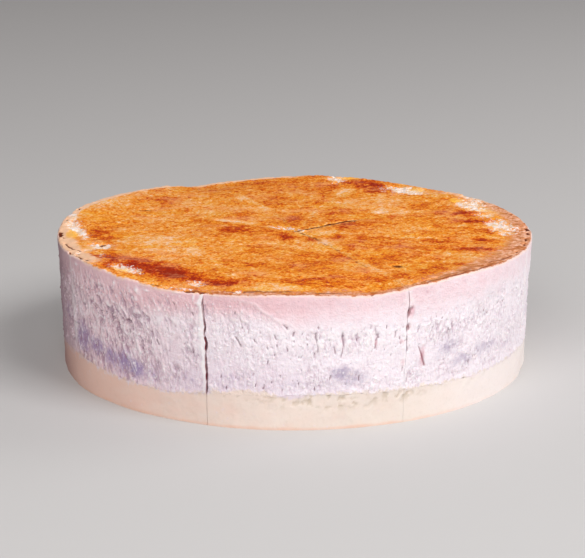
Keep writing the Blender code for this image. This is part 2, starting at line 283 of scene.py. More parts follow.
# The wall has a smooth band above and torn crumb below it.
# Zones and stains are (angle, height, half width in degrees, half height, strength).
wall = {
    # the smooth band's lower edge and how pink the band is, painted paler on the brightly lit right as
    # painted light: (angle, amount)
    "bandEdge": [
        (-180, 47), (-150, 49), (-120, 45), (-95, 50), (-75, 53), (-50, 53), (-30, 53), (-20, 53),
        (-13, 53), (-8, 49.6), (-4, 44.8), (-2, 42.4), (1, 39.4), (3, 41), (5, 43), (9, 42.4),
        (14, 42.6), (19, 43), (26, 43), (33, 43.5), (40, 45), (50, 46.5), (60, 47), (75, 46), (95, 44),
        (120, 48), (150, 45), (180, 47),
    ],
    "pinkFadedByPaintedLight": [
        (-180, 0.9), (-60, 1.1), (-40, 1.2), (-12, 1.05), (0, 0.72), (14, 0.6), (25, 0.56), (50, 0.5),
        (70, 0.4), (90, 0.4), (180, 0.9),
    ],
    "pinkLevel": 46,
    "pinkFade": 15.0,
    # painted bounce light: the wall's shaded left is painted pinker
    "paintedBouncePink": 0.6,
    # places as (angle, width in degrees)
    "paintedBouncePinkAt": (-56, 34),
    "crispAt": (-6, 6),  # the band's edge is crisp here and fades out elsewhere
    "slopedAt": (-50, 24),  # the strokes slope here
    "widerAt": (-58, 28),  # and are wider here, where the wall is seen at a slant
    "raggedAt": (-38, 16),  # the browned skin hangs down most here
    "paintedShadeAt": (-84, 20),  # painted shade on the far left, where the wall lies in shade
    "paintedShadeAmount": 0.92,
    # stretches as (starts, full, fading, ends) in degrees
    "evenSkin": (12, 30, 92, 110),
    "lessLilac": (-22, 22, 110, 150),
    "lilacFade": (15, 42),  # heights between which the lilac fades out
    "paintedGapeShadeRate": 3.2,  # how soon an opening cut takes its painted shade
    "paintedLightAt": (13, 37, 13, 6, 1.0),  # torn crumb, its high parts painted whiter as a painted highlight
    "roughLevel": 0.34,
    "roughZones": [
        (-46, 36, 19, 16, 1.0), (-30, 30, 9, 14, 0.7), (-12, 36, 6, 6, 0.35), (13, 37, 10, 5, 0.24),
        (37, 37, 9, 6, 0.3), (15, 18, 24, 4, 0.35), (55, 36, 9, 7, 0.25), (-68, 34, 12, 18, 0.8),
        (85, 34, 14, 9, 0.7), (112, 30, 12, 12, 0.7), (140, 36, 13, 8, 0.6), (168, 30, 12, 12, 0.7),
        (196, 35, 13, 9, 0.6), (222, 31, 12, 12, 0.7), (250, 35, 14, 10, 0.8), (275, 32, 10, 12, 0.8),
    ],
    "strokeZones": [
        (13, 36, 10, 6, 1.0), (37, 36, 10, 6, 0.9), (-16, 20, 8, 6, 0.4), (110, 32, 22, 9, 1.0),
        (170, 34, 20, 8, 0.9), (235, 32, 24, 9, 1.0),
    ],
    "nickZones": [
        (13, 36.5, 10, 4.5, 0.12), (34, 37, 9, 8, 0.22), (-10, 34, 9, 6, 0.14), (-45, 33, 16, 9, 0.2),
        (8, 19, 18, 3.5, 0.34), (44, 21, 4, 3, 0.7), (58, 20, 4, 3, 0.6), (50, 36, 6, 6, 0.22),
        (0, 36, 5, 5, 0.24), (100, 33, 13, 8, 0.25), (135, 34, 12, 7, 0.3), (170, 32, 14, 9, 0.2),
        (205, 36, 12, 6, 0.3), (240, 32, 13, 9, 0.22), (268, 30, 9, 9, 0.22),
    ],
    "leftLean": 0.34,  # how far the strokes slope on the left
    # how deep each kind of mark goes, and how far the others stand out
    "tearDepth": 1.25,
    "nickDepth": 0.55,
    "pitDepth": 0.8,
    "fleckDepth": 0.4,
    "crumbHeight": 0.3,
    "ridgeHeight": 0.16,
    "stripHeight": 0.25,
    "skinHeight": 0.1,
    "crispDepth": 0.1,
    "lumpHeight": 0.3,
    "slit": {
        "angle": 29.8, "height": 26.2, "lean": -0.42, "halfWidth": 0.58, "halfHeight": 5.2,
        "depth": 0.5,
    },
    # brown pits beside the front right cut: (angle, height, half width, half height, strength)
    "pits": [
        (25.8, 45.0, 0.75, 2.4, 1.15), (26.4, 46.2, 0.7, 1.3, 0.8), (25.8, 38.8, 0.75, 1.7, 1.15),
        (24.8, 35.0, 0.5, 0.9, 0.5), (150, 37, 0.9, 2.6, 0.8), (222, 34, 0.8, 2.2, 0.8),
    ],
    # white crumbs that stand out: (angle, height, half width, half height)
    "flecks": [
        (-64.6, 27, 0.9, 8.0), (-37.7, 50.9, 0.8, 1.0), (-34.8, 51.7, 1.2, 0.4), (-51, 48.9, 0.7, 0.8),
        (-61.6, 53.0, 1.3, 0.6), (-45.2, 51.5, 0.8, 0.7), (-48.2, 41.7, 0.6, 1.4),
        (-39.8, 39.7, 0.7, 0.8), (-26.9, 53.2, 2.0, 0.6), (-22.5, 51.5, 0.5, 1.6),
        (-18.0, 53.6, 1.0, 0.5), (-9.5, 18.5, 0.35, 2.2), (-44.0, 34.0, 0.6, 2.0),
        (-41.0, 31.0, 0.5, 1.8), (-21.6, 39.0, 0.5, 0.9),
    ],
    # short dark tears: (angle, height, lean, half width, half height, strength)
    "tearSlits": [
        (2.4, 37.2, 0.1, 0.3, 1.6, 0.5), (11.9, 37.0, 0.2, 0.3, 2.0, 0.4),
        (13.0, 39.4, -0.1, 0.3, 1.4, 0.3), (14.8, 37.6, 0.1, 0.3, 2.2, 0.35),
        (20.6, 36.0, -0.15, 0.3, 1.8, 0.45), (21.6, 33.6, 0.1, 0.3, 1.4, 0.35),
        (28.4, 38.0, 0.2, 0.3, 1.4, 0.55), (31.8, 34.2, 0.0, 0.3, 1.6, 0.45),
        (30.4, 39.6, -0.1, 0.3, 1.2, 0.45), (34.4, 37.6, 0.15, 0.3, 1.8, 0.45),
        (38.6, 36.2, -0.1, 0.3, 1.6, 0.4), (42.4, 39.0, 0.1, 0.3, 1.6, 0.3),
        (33.2, 30.6, 0.1, 0.3, 1.4, 0.6), (45.0, 35.0, 0.0, 0.3, 1.6, 0.4),
        (6.2, 33.4, 0.1, 0.3, 1.4, 0.5), (12.4, 31.6, 0.1, 0.3, 1.6, 0.5),
        (4.6, 37.4, -0.04, 0.4, 3.0, 0.9), (4.8, 33.6, 0.0, 0.34, 3.2, 0.8),
        (10.5, 36.4, -0.05, 0.52, 4.4, 0.85), (10.3, 31.2, 0.1, 0.35, 3.0, 0.8),
        (18.0, 39.4, -0.35, 0.32, 2.0, 0.8), (18.5, 36.9, -0.2, 0.49, 1.3, 1.0),
        (18.1, 34.2, 0.1, 0.52, 3.4, 0.85), (18.3, 31.8, -0.1, 0.3, 1.0, 0.7),
        (8.7, 32.2, -0.25, 0.38, 2.4, 0.8), (17.1, 30.4, 0.3, 0.3, 1.8, 0.5),
        (22.7, 36.7, 0.1, 0.43, 1.9, 0.8), (4.1, 30.4, 0.15, 0.35, 1.6, 0.8),
        (-0.4, 39.1, 0.05, 0.41, 1.4, 0.9), (1.3, 29.8, 0.5, 0.3, 1.0, 0.6),
        (0.0, 30.4, 0.4, 0.3, 1.0, 0.5), (5.5, 37.1, 0.0, 0.43, 1.2, 0.5),
        (7.6, 40.8, 0.1, 0.38, 1.0, 0.6), (7.5, 35.4, -0.2, 0.3, 2.0, 0.5),
        (15.9, 33.8, -0.3, 0.3, 3.0, 0.25), (19.9, 32.5, 0.2, 0.32, 1.2, 0.5),
        (24.0, 32.9, 0.0, 0.43, 0.8, 0.7), (16.7, 40.6, 0.0, 0.43, 1.4, 0.6),
        (13.4, 33.5, 0.0, 0.3, 2.0, 0.2), (9.3, 36.8, 0.3, 0.3, 1.6, 0.4),
        (3.4, 32.0, 0.3, 0.3, 1.8, 0.4), (-12.9, 35.4, -0.38, 0.43, 2.8, 0.9),
        (-10.4, 39.8, -0.12, 0.38, 1.7, 0.6), (-9.0, 36.0, -0.4, 0.35, 1.4, 0.6),
        (-4.4, 37.8, -0.4, 0.41, 1.5, 0.8), (-2.3, 41.8, -0.7, 0.38, 1.5, 0.8),
        (-15.3, 41.0, -0.2, 0.35, 1.6, 0.5), (-7.2, 17.6, 0.3, 0.43, 1.6, 0.7),
        (32.5, 36.5, 0.1, 0.35, 3.0, 0.6), (35.2, 32.0, -0.1, 0.38, 2.4, 0.6),
        (36.9, 33.0, -0.25, 0.35, 2.2, 0.6), (47.0, 37.0, 0.05, 0.35, 2.4, 0.5),
        (28.6, 37.5, 0.3, 0.38, 2.2, 0.6), (40.2, 38.5, -0.1, 0.32, 1.8, 0.5),
        (96, 34, 0.1, 0.43, 4.0, 0.8), (128, 36, -0.1, 0.43, 4.4, 0.9), (147, 33, 0.15, 0.41, 3.2, 0.7),
        (183, 35, -0.1, 0.43, 4.0, 0.8), (212, 34, 0.1, 0.43, 4.2, 0.9),
        (248, 32, -0.12, 0.43, 3.6, 0.8), (262, 35, 0.1, 0.38, 3.0, 0.6),
    ],
    "violetStains": [
        (-61, 23, 4.5, 7, 1.15), (-54, 22, 5, 4.5, 0.95), (-48, 19.5, 4.5, 5, 0.9),
        (-43.0, 19.5, 4.5, 5.5, 1.0), (-39.8, 18, 3.2, 4.0, 1.15), (-35, 17.5, 4, 4, 0.55),
        (-70, 29, 4, 5, 0.7), (-26, 18, 6, 5, 0.35), (10.2, 22.8, 2.4, 3.4, 1.1),
        (12.6, 21.0, 3.8, 3.4, 0.8), (-2, 18, 4, 3, 0.35), (-16, 19, 7, 5, 0.35), (4, 19, 8, 4, 0.3),
        (37.4, 28, 4.0, 4.4, 0.7), (42.5, 21.5, 4.2, 3.2, 0.65), (50, 23, 5, 3.4, 0.7),
        (60.5, 20, 3, 3, 0.5), (79, 28, 6, 10, 0.3), (-77, 26, 7, 11, 0.5), (104, 20, 9, 5, 0.7),
        (139, 22, 8, 5, 0.8), (171, 19, 9, 5, 0.7), (200, 23, 7, 5, 0.6), (228, 19, 9, 5, 0.9),
        (258, 21, 8, 5, 0.7),
    ],
    "roseStains": [
        (24.4, 33.4, 0.7, 1.4, 0.7), (24.9, 24.6, 0.7, 2.2, 0.7), (26.2, 45, 1.0, 2.6, 0.9),
        (26.0, 39, 0.9, 2.2, 0.6), (29.8, 26.0, 0.7, 5.0, 0.8), (30.2, 52.0, 0.6, 1.4, 0.5),
        (30.6, 45.5, 0.5, 0.8, 0.5), (-22.5, 50.5, 0.7, 1.2, 0.6), (10.4, 36, 0.5, 2.4, 0.3),
        (18.1, 34.3, 0.45, 2.4, 0.7), (6.5, 41.5, 0.8, 2.0, 0.3), (-16, 51, 3.5, 1.6, 0.35),
        (150, 40, 1.5, 2.5, 0.5), (214, 30, 1.2, 3, 0.6), (98, 41, 1.4, 2, 0.5),
    ],
}


# painted shade: the far left of the cake is darkened in its colour
def paintedShade(angle):
    return wall["paintedShadeAmount"] * near(angle, wall["paintedShadeAt"])


def wallLumps(along, height):
    return wall["lumpHeight"] * (layeredNoise(along, height, 17.0, 14, 2) - 0.4)


def tornCrumb(along, height, left, leftSide, stroked, warpX, warpY):
    lean = along + wall["leftLean"] * height * left + warpX  # the strokes slope on the left
    tall = height + warpY
    strokes = layeredNoise(lean, tall * 0.27, 1.0, 11, 2, 0.6)
    ridges = 1 - 2 * abs(layeredNoise(lean, tall * 0.30, 1.1, 12, 1))
    crumbs = layeredNoise(along + warpX, tall * 0.8, 1.05, 19, 2, 0.7)
    coarse = layeredNoise(along + warpX, tall * 0.7, 2.4, 29, 2)
    tears = (0.22 + 0.50 * stroked) * strokes + (0.10 + 0.36 * stroked) * ridges
    tears = tears + (0.55 - 0.35 * stroked) * crumbs + (0.30 - 0.12 * stroked) * coarse
    # the left side is seen at a slant, so its strokes are wider
    tears = tears + 0.15 * leftSide * layeredNoise(lean, tall * 0.26, 2.1, 30, 2, 0.7)
    return lean, tall, tears


def slitMask(angle, height):
    slit = wall["slit"]
    up = height - slit["height"]
    side = arc(turned(angle, slit["angle"])) - slit["lean"] * up
    side = side + 0.3 * (up / slit["halfHeight"]) ** 2
    width = slit["halfWidth"] * (1.0 - 0.45 * np.clip(up / slit["halfHeight"], -1, 1))
    mask = bell(side, width) * (1 - rise(abs(up), slit["halfHeight"] - 1.5, slit["halfHeight"]))
    return mask * (abs(side) < 3)


def raggedSkin(angle, along, height):  # how far down the wall the browned skin hangs
    calm = 1 - 0.6 * between(turned(angle), *wall["evenSkin"]) + 1.1 * near(angle, wall["raggedAt"])
    ragged = 0.5 * layeredNoise(along, along * 0, 7.0, 17, 3) + 0.2 * softNoise(along, height * 0, 1.6, 27)
    return np.clip(ragged * calm - 0.15, -0.6, 1.2)


def wallRelief(angle, height, top, foot, strips):
    along = arc(angle)
    edge = alongKnots(turned(angle), wall["bandEdge"])
    edge = edge + 1.0 * layeredNoise(along, height, 9.0, 5, 2) + 0.5 * softNoise(along, height, 3.0, 6)
    crisp = near(angle, wall["crispAt"])
    left = near(angle, wall["slopedAt"])
    leftSide = near(angle, wall["widerAt"])
    rough = 1 - rise(height, edge - 4.0 + 2.8 * crisp - 4.0 * left, edge + 0.4 + 3.5 * left)
    stripWidth = 1.9 + 0.6 * layeredNoise(height, angle * 0, 2.5, 31, 2)
    plain = np.zeros(angle.shape)  # the smooth strips beside a cut
    for amount, away in strips:
        plain = np.maximum(plain, amount * np.exp(-((away / stripWidth) ** 4)))
    rough = rough * (1 - 0.85 * np.clip(plain, 0, 1))
    strength = wall["roughLevel"] + zones(wall["roughZones"], angle, height) * 0.75
    uneven = np.clip(0.85 + 0.75 * layeredNoise(along, height, 7.0, 13, 2), 0.2, 1.9)
    strength = strength * uneven * (1 + 0.45 * left)
    # strokes, nicks and crumbs
    warpX = 0.4 * layeredNoise(along, height, 3.2, 21, 2)
    warpY = 0.9 * layeredNoise(along, height, 3.2, 23, 2)
    stroked = np.clip(left * 1.2 + zones(wall["strokeZones"], angle, height), 0, 1)
    lean, tall, tears = tornCrumb(along, height, left, leftSide, stroked, warpX, warpY)
    far, own = scatteredSpots(lean, tall * 0.30, 1.7, 15)
    mixed = [np.floor(own * many).astype(np.int64) for many in (997, 61)]
    reach = 0.06 + 0.14 * cellValue(*mixed, 3)  # each nick has its own size
    density = zones(wall["nickZones"], angle, height) + 0.04
    inCrumb = rise(rough, 0.05, 0.5)
    nicks = np.where(own < density, 1 - rise(far, reach * 0.4, reach + 0.27), 0.0) * inCrumb
    far, own = scatteredSpots(along + warpX, tall * 0.55, 1.3, 25)
    flecks = np.where(own < density * 0.45 + 0.03, 1 - rise(far, 0.05, 0.40), 0.0) * inCrumb
    far, own = scatteredSpots(along, height * 0.8, 1.9, 18)
    lumps = np.where(own > 0.82, 1 - rise(far, 0.12, 0.55), 0.0) * (0.2 + 0.8 * rough)
    for middle, level, halfWidth, halfHeight in wall["flecks"]:
        across = arc(turned(angle, middle)) / halfWidth
        lumps = np.maximum(lumps, 1.2 * np.exp(-(across**2) - ((height - level) / halfHeight) ** 2))
    for middle, level, slope, halfWidth, halfHeight, weight in wall["tearSlits"]:
        up = (height - level) / halfHeight
        across = arc(turned(angle, middle)) - slope * (height - level) + 0.6 * warpX
        nicks = np.maximum(nicks, weight * bell(across, halfWidth) * (1 - rise(abs(up), 0.5, 1.0)))
    pits = np.zeros(angle.shape)
    for middle, level, halfWidth, halfHeight, weight in wall["pits"]:
        across = (arc(turned(angle, middle)) + 0.5 * warpX) / halfWidth
        away = np.hypot(across, (height + 0.4 * warpY - level) / halfHeight)
        pits = np.maximum(pits, weight * (1 - rise(away, 0.55, 1.15)))
    slit = slitMask(angle, height)
    ridgeLine = crisp * bell(height - edge - 0.5, 0.8) * (turned(angle) < 3)
    # the depth adds all of them up
    settled = 0.15 + 0.85 * rise(height - foot, 0.0, 2.2)
    depth = rough * strength * wall["tearDepth"] * (0.5 * tears - 0.36) * settled
    depth = depth - wall["nickDepth"] * nicks - wall["fleckDepth"] * flecks
    depth = depth - wall["slit"]["depth"] * slit - wall["pitDepth"] * pits + wall["crumbHeight"] * lumps
    depth = depth + 0.05 * layeredNoise(along, height, 2.5, 16, 2) + wall["ridgeHeight"] * ridgeLine
    depth = depth - wall["crispDepth"] * rough * crisp + wall["stripHeight"] * plain
    ragged = raggedSkin(angle, along, height)
    below = top - height
    depth = depth + wall["skinHeight"] * (1 - rise(below, ragged - 0.3, ragged + 0.6))
    # painted highlight on the high parts of the torn crumb here
    paintedLight = 0.6 * rough * zones([wall["paintedLightAt"]], angle, height) * rise(tears, -0.5, 0.3)
    # white crumbs, with painted highlights on the band's ridge line and the torn crumb's high parts
    crumb = 0.8 * lumps + 0.35 * ridgeLine + 0.5 * rough * rise(tears, 0.35, 0.8) + paintedLight
    pinkFrom = 0.65 * wall["pinkLevel"] + 0.35 * edge - 8.5
    pinkWithPaintedLight = rise(height, pinkFrom, pinkFrom + wall["pinkFade"])
    # the band's pink is painted paler where the light falls brightest
    pinkWithPaintedLight = pinkWithPaintedLight * alongKnots(turned(angle), wall["pinkFadedByPaintedLight"])
    strength = np.clip(strength, 0, 1.2)
    return {
        "depth": depth,
        "rough": rough * strength,
        # painted shade in the nicks and small dents
        "paintedNickShade": np.clip(nicks + 0.7 * flecks, 0, 1),
        "slit": slit,
        "pit": pits,
        # white crumbs and painted highlights, less in the nicks
        "crumb": np.clip(crumb, 0, 1) * (1 - 0.9 * np.clip(nicks, 0, 1)),
        "ragged": below - ragged,
        # painted shade in the low parts of the torn crumb
        "paintedHollowShade": np.clip(0.20 - 0.9 * tears, 0, 1) * rough * strength,
        # painted shade in the grooves and painted highlight on the crests of the sloping strokes
        "paintedGrooveShade": np.clip(-1.5 * tears - 0.15, 0, 1) * rough * leftSide,
        "paintedCrestHighlight": np.clip(1.5 * tears - 0.25, 0, 1) * rough * leftSide,
        "paintedShade": paintedShade(angle),
        # the pink band with painted light: paler on the lit right, pinker from painted bounce light on the
        # left
        "pinkWithPaintedLight": pinkWithPaintedLight + wall["paintedBouncePink"] * near(angle, wall["paintedBouncePinkAt"]),
        "plain": plain,
    }


# The top's browning in patches: (x, y, half length, half width, direction, strength).
skin = {
    "browning": 0.45,
    "toastAmount": 0.56,
    "paleAmount": 0.3,
    # stretches of the rim as (starts, full, fading, ends) in degrees
    "duskyRight": (24, 42, 118, 136),
    "duskyFront": (-26, -16, 30, 45),
    "rimLine": (27, 33, 48, 64),
    "innerLine": (-14, -10, 4, 12),
    "brownLip": (-24, -14, 84, 100),
    "peachRight": (108, 124, 132, 146),
    "peachBack": (-60, -35, 35, 60),  # counted from the back left
    "peachLeft": (-24, -14, 14, 24),  # counted from the left
    "duskyWidth": 6.5,
    "duskyExtra": 5.0,  # the dusky rim is this much wider at its widest
    "duskyWidest": (70, 32),
    # the line of a cut and the pale band beside it
    "cutLine": 0.75,
    "cutLineDepth": 0.3,
    "cutBand": 2.0,
    "cutBandDepth": 0.15,
    "cutPaleness": 0.42,
    "blisterHeight": 0.22,
    "tornDepth": 0.45,
    "crackDepth": 0.8,
    "pitDepth": 0.7,
    "toasted": [
        (-58, -60, 29, 9, -39, 0.95), (-52, -65.5, 18, 8, -41, 1.15), (-46, -69, 15, 6.5, -36, 1.2),
        (-72, -49, 11, 5.5, -35, 0.9), (-42.5, -74, 8, 5, -40, 0.95), (-28, -80.5, 8.5, 5.5, -4, 0.95),
        (8, -80, 24, 7, 2, 0.36), (36, -75, 10, 5, 25, 0.42), (-83, -8, 4, 6, 0, 0.5),
        (-73, -57, 6, 4, -36, 0.8), (-25, 62, 8, 6, 0, 0.42), (-76, -14, 6, 3, 0, 0.4),
        (-26, 0, 6, 6, 0, 0.55), (-3.3, -13, 2.6, 8, 5, 0.6), (8.3, -15, 3, 4, 0, 0.5),
        (23, 7, 6, 6, 0, 0.62), (18, -13, 5, 4, 0, 0.4), (34, 83, 10, 9, -15, 0.95),
        (25, 87, 5, 5, 0, 0.6), (40, 76, 4, 8, 10, 0.7), (75, 28, 7, 5, 5, 0.8), (64, 29, 4, 3, 0, 0.5),
        (77, 13.5, 6, 3.5, 0, 0.8), (80, -2, 4, 3, 0, 0.55), (79, -17, 5, 3, 0, 0.7),
        (81, -20, 5, 4, 0, 0.4), (74, -33, 7, 3.5, 0, 0.75), (60, -18, 6, 5, -20, 0.5),
        (17, -85, 8, 4, 0, 0.5), (-5, -47, 8, 6, 0, 0.22), (37, 71, 5, 6, 0, 0.8),
        (21, 79, 6, 5, 0, 0.5), (-58, 51, 9, 6, 0, 0.35), (55, -66, 15, 6, 42, 0.4),
        (-17, 86, 10, 5, 20, 0.25), (-33, 75, 7, 4, 0, 0.25), (-1, 19, 6, 10, 0, 0.55),
        (21, -43, 8, 7, 0, 0.4), (-18, -53, 10, 7, 0, 0.36), (31, -14, 7, 6, 0, 0.4),
        (56, -29, 9, 5, 0, 0.4), (-6, 50, 10, 10, 0, 0.2), (38, -24, 17, 12, 0, 0.2),
        (47, -42, 10, 6, 0, 0.4), (8, -48, 12, 14, 0, 0.2), (-2, -62, 12, 8, 0, 0.15),
        (20, 30, 8, 7, 0, 0.15), (58, 40, 10, 6, 20, 0.2), (45, -48, 12, 8, 0, 0.2),
    ],
    "pale": [
        (-53, -18, 20, 13, 0, 0.62), (-17, -20, 6, 5, 0, 0.85), (-80, -39, 5, 4, -30, 0.85),
        (-69, -39, 7, 4, -30, 0.75), (-48, -34, 13, 9, 0, 0.65), (-30, -28, 12, 9, 0, 0.5),
        (-24, -15, 12, 8, 0, 0.6), (-51, 3, 15, 8, 0, 0.4), (-2, -22, 12, 6, 0, 0.6),
        (12, -5, 7, 6, 0, 0.95), (15, -27, 5, 12, 10, 0.75), (-25, 58, 4, 7, 15, 0.85),
        (-18, 45, 3, 6, 20, 0.6), (36.5, 31, 4.5, 4, 0, 1.3), (22, 23, 5, 5, 0, 0.8),
        (13, 0, 6, 3, 0, 0.7), (26, 3, 3, 3, 0, 0.7), (-9, -21, 8, 3, 0, 0.8), (60, 1, 9, 3.5, 0, 0.8),
        (69, 6, 6, 3, 0, 0.7), (67, -39, 9, 4, 20, 0.65), (-33, -85, 4, 3, 0, 0.7),
        (2, 55, 8, 8, 0, 0.6), (51, 32, 9, 6, 0, 0.6), (-40, 27, 9, 6, 0, 0.65),
        (-19, 37, 8, 6, 0, 0.55), (-41, 49, 8, 7, 0, 0.5), (-77, 48, 7, 8, 0, 0.55),
        (-83, 37, 6, 6, 0, 0.55), (84, -14, 4, 4, 0, 0.5), (28, 45, 11, 12, -20, 0.7),
        (22, 66, 4, 8, -15, 0.8), (42, 53, 8, 12, 0, 0.55), (50, 4, 11, 9, 0, 0.5),
        (52, -8, 14, 2.4, -8, 0.6), (-9, -88.5, 12, 5.5, 0, 1.1), (33, -82, 9, 5, 20, 0.45),
        (24, -88, 8, 4, 5, 0.45), (-27, 15, 9, 2.6, -22, 1.0), (-70, 25, 8, 8, 0, 0.3),
        (-86, -36, 4, 9, -30, 1.0), (62, 14, 6, 5, 0, 0.4), (70, -47, 9, 5, 40, 0.4),
        (-35, 45, 9, 8, 0, 0.3), (-14, -50, 7, 6, 0, 0.3), (24, -62, 6, 8, 10, 0.3),
        (-93, 25, 4, 14, -20, 0.6), (-83, 46, 4, 12, -30, 0.6), (85, 30, 5, 8, 0, 0.6),
        (62, 64, 8, 6, -30, 0.5),
    ],
    "torn": [
        (-91.5, -1, 16, 3.2, -73, 1.1), (-95, 17, 7, 2.4, -80, 0.8), (-80.5, -28, 6.5, 4.2, -20, 1.0),
        (-66.8, -62.6, 7.5, 3.4, -40, 1.3), (-38, -80.5, 3.2, 3.0, 0, 0.8),
        (-45.5, -86, 5, 2, -28, 0.8), (-21.8, -94.2, 2.6, 1.6, 0, 1.1), (20, 92, 4.2, 8, 0, 1.1),
        (51, 73, 8.5, 8, -20, 1.25), (46, 80, 4, 4, 0, 0.9), (78, 44, 12, 6, -82, 1.1),
        (87.5, 7, 14, 6, -76, 1.1), (82, 25, 5, 3, 0, 0.8), (80, 57, 3.5, 6, 30, 0.8),
        (37, 29, 3.2, 3, 0, 0.5), (-5, 3.4, 7, 2.2, -10, 0.8), (2, -1, 3.5, 2, -30, 0.7),
        (-87, -39, 3, 8, -30, 0.55), (-27, 15, 9, 1.6, -22, 0.45), (-77, -45, 2.6, 4, 0, 0.5),
    ],
    "yellowed": [
        (-93, -8.5, 3, 7.5, 0, 1.1), (-86, 18, 8, 14, 0, 0.4), (-68.5, -63.5, 5, 2.6, -35, 1.0),
        (-84, -31, 6, 4, 0, 0.5), (72, 53, 3, 4.5, 0, 1.0), (56, 76, 4, 3.5, -20, 0.8),
        (24, 95, 5, 2.5, 0, 0.8), (86, 0, 4, 7, 0, 0.4), (17, 93, 4, 3, 0, 0.4),
    ],
    "darkPits": [
        (41.0, -57.6, 2.8, 2.2, -20, 0.85), (-65, 35, 4, 1.0, 5, 0.7), (-79, -25, 1.6, 1.4, 0, 0.9),
        (-4, 2.6, 1.4, 0.9, 0, 0.8), (0.5, -1.5, 1.2, 1.0, 0, 1.0), (23, 14.5, 3.4, 1.8, 15, 0.9),
        (-73, 11, 2.5, 1.2, 0, 0.5),
    ],
    # skin that stands off the rim: (angle, radius, half length, half width, strength)
    "lifted": [
        (-85.2, 98.6, 4.6, 1.3, 1.1), (-82, 97.2, 1.6, 0.9, 0.8), (-33.5, 98.2, 2.6, 0.9, 0.9),
        (-30.0, 98.8, 1.8, 0.6, 0.8), (-24, 99.0, 2.6, 0.75, 0.9), (-21, 98.8, 1.4, 0.9, 0.9),
        (-12, 97.2, 1.2, 0.6, 0.8), (0, 97.6, 1.2, 0.75, 0.7), (17.2, 99.2, 1.2, 0.6, 0.8),
        (90.8, 98.6, 3.0, 1.1, 1.1), (86.6, 98.2, 2.4, 0.9, 1.0), (80.5, 97.6, 3.4, 0.7, 0.9),
        (75.0, 98.0, 2.8, 0.7, 0.8), (67.5, 97.8, 1.8, 0.6, 0.8), (-98, 98.5, 1.6, 0.75, 0.8),
        (-108, 98.6, 2.4, 0.6, 0.8), (-150, 99, 3.5, 0.9, 1.0), (-146, 99, 1.8, 0.75, 0.9),
    ],
    # lines in the skin: (strength, half width, points)
    "darkLines": [
        (1.0, 0.6, [(-94.9, -22.5), (-92.8, -27.0), (-90.4, -32.0), (-87.4, -35.4)]),
        (1.0, 0.55, [(-91.4, -37.0), (-87.4, -45.8), (-82.6, -53.0)]),
        (0.9, 0.5, [(-78.6, -58.4), (-75.1, -61.6)]), (0.6, 0.4, [(-88.5, 42.5), (-83.9, 38.3)]),
        (0.8, 0.5, [(-7.8, 3.4), (-3.4, 0.9), (0.8, -2.4)]),
        (0.6, 0.5, [(44.5, -85.6), (50.0, -81.6), (56.0, -78.0)]),
        (0.5, 0.4, [(-75.0, 66.0), (-69.0, 70.0)]),
    ],
    "brownLines": [
        (0.9, 0.8, [(-23.6, -93.6), (-14.0, -94.6), (-2.1, -94.4)]),
        (0.8, 0.6, [(8.2, -96.0), (17.3, -96.2)]),
        (1.0, 0.9, [(-42.1, -89.6), (-38.0, -90.8), (-34.7, -91.6)]),
        (0.7, 0.5, [(77.4, -57.0), (83.5, -50.5), (87.8, -43.6)]),
        (0.5, 0.9, [(56.0, -78.0), (63.0, -73.0), (70.0, -66.5)]),
        (0.5, 0.8, [(9.0, -16.0), (18.6, -35.9), (24.7, -50.4), (29.0, -60.0)]),
        (0.6, 0.8, [(1.7, -4.4), (5.7, -10.6), (10.5, -16.6)]),
        (0.5, 0.8, [(9.6, 2.0), (13.6, 5.2), (18.4, 7.4), (25.4, 10.6)]),
        (0.35, 0.6, [(-90.5, -40.5), (-85.0, -50.5)]),
    ],
}


def nearLine(x, y, points):  # distance to a line through the points
    nearest = np.full(x.shape, 99.0)
    for (ax, ay), (bx, by) in zip(points, points[1:]):
        share = ((x - ax) * (bx - ax) + (y - ay) * (by - ay)) / ((bx - ax) ** 2 + (by - ay) ** 2)
        share = np.clip(share, 0, 1)
        nearest = np.minimum(nearest, np.hypot(x - ax - share * (bx - ax), y - ay - share * (by - ay)))
    return nearest


def drawn(lines, x, y, blur):
    wobble = 0.35 * layeredNoise(x, y, 2.5, 45, 2)
    total = np.zeros(x.shape)
    for strength, halfWidth, points in lines:
        away = nearLine(x + wobble, y + wobble, points)
        total = np.maximum(total, strength * bell(away, halfWidth * blur))
    return total


def patches(spots, x, y, blur=0.5, wobble=0.34):
    total = np.zeros(x.shape)
    wobbleX = wobble * layeredNoise(x, y, 5.5, 41, 3, 0.7)
    wobbleY = wobble * layeredNoise(x, y, 5.5, 47, 3, 0.7)
    for px, py, length, width, direction, strength in spots:
        turn = math.radians(direction)
        u = ((x - px) * math.cos(turn) + (y - py) * math.sin(turn)) / length + wobbleX
        v = (-(x - px) * math.sin(turn) + (y - py) * math.cos(turn)) / width + wobbleY
        total = np.maximum(total, strength * (1 - rise(np.hypot(u, v), blur, 1.6)))
    return total


def liftedSkin(radius, angle):
    slits = np.zeros(radius.shape)
    for middle, distance, length, width, strength in skin["lifted"]:
        along = np.radians(turned(angle, middle)) * distance
        bend = radius - distance + 0.25 * np.sin(along * 1.7)
        slits = np.maximum(slits, strength * np.exp(-((bend / width) ** 2) - (along / length) ** 4))
    return slits


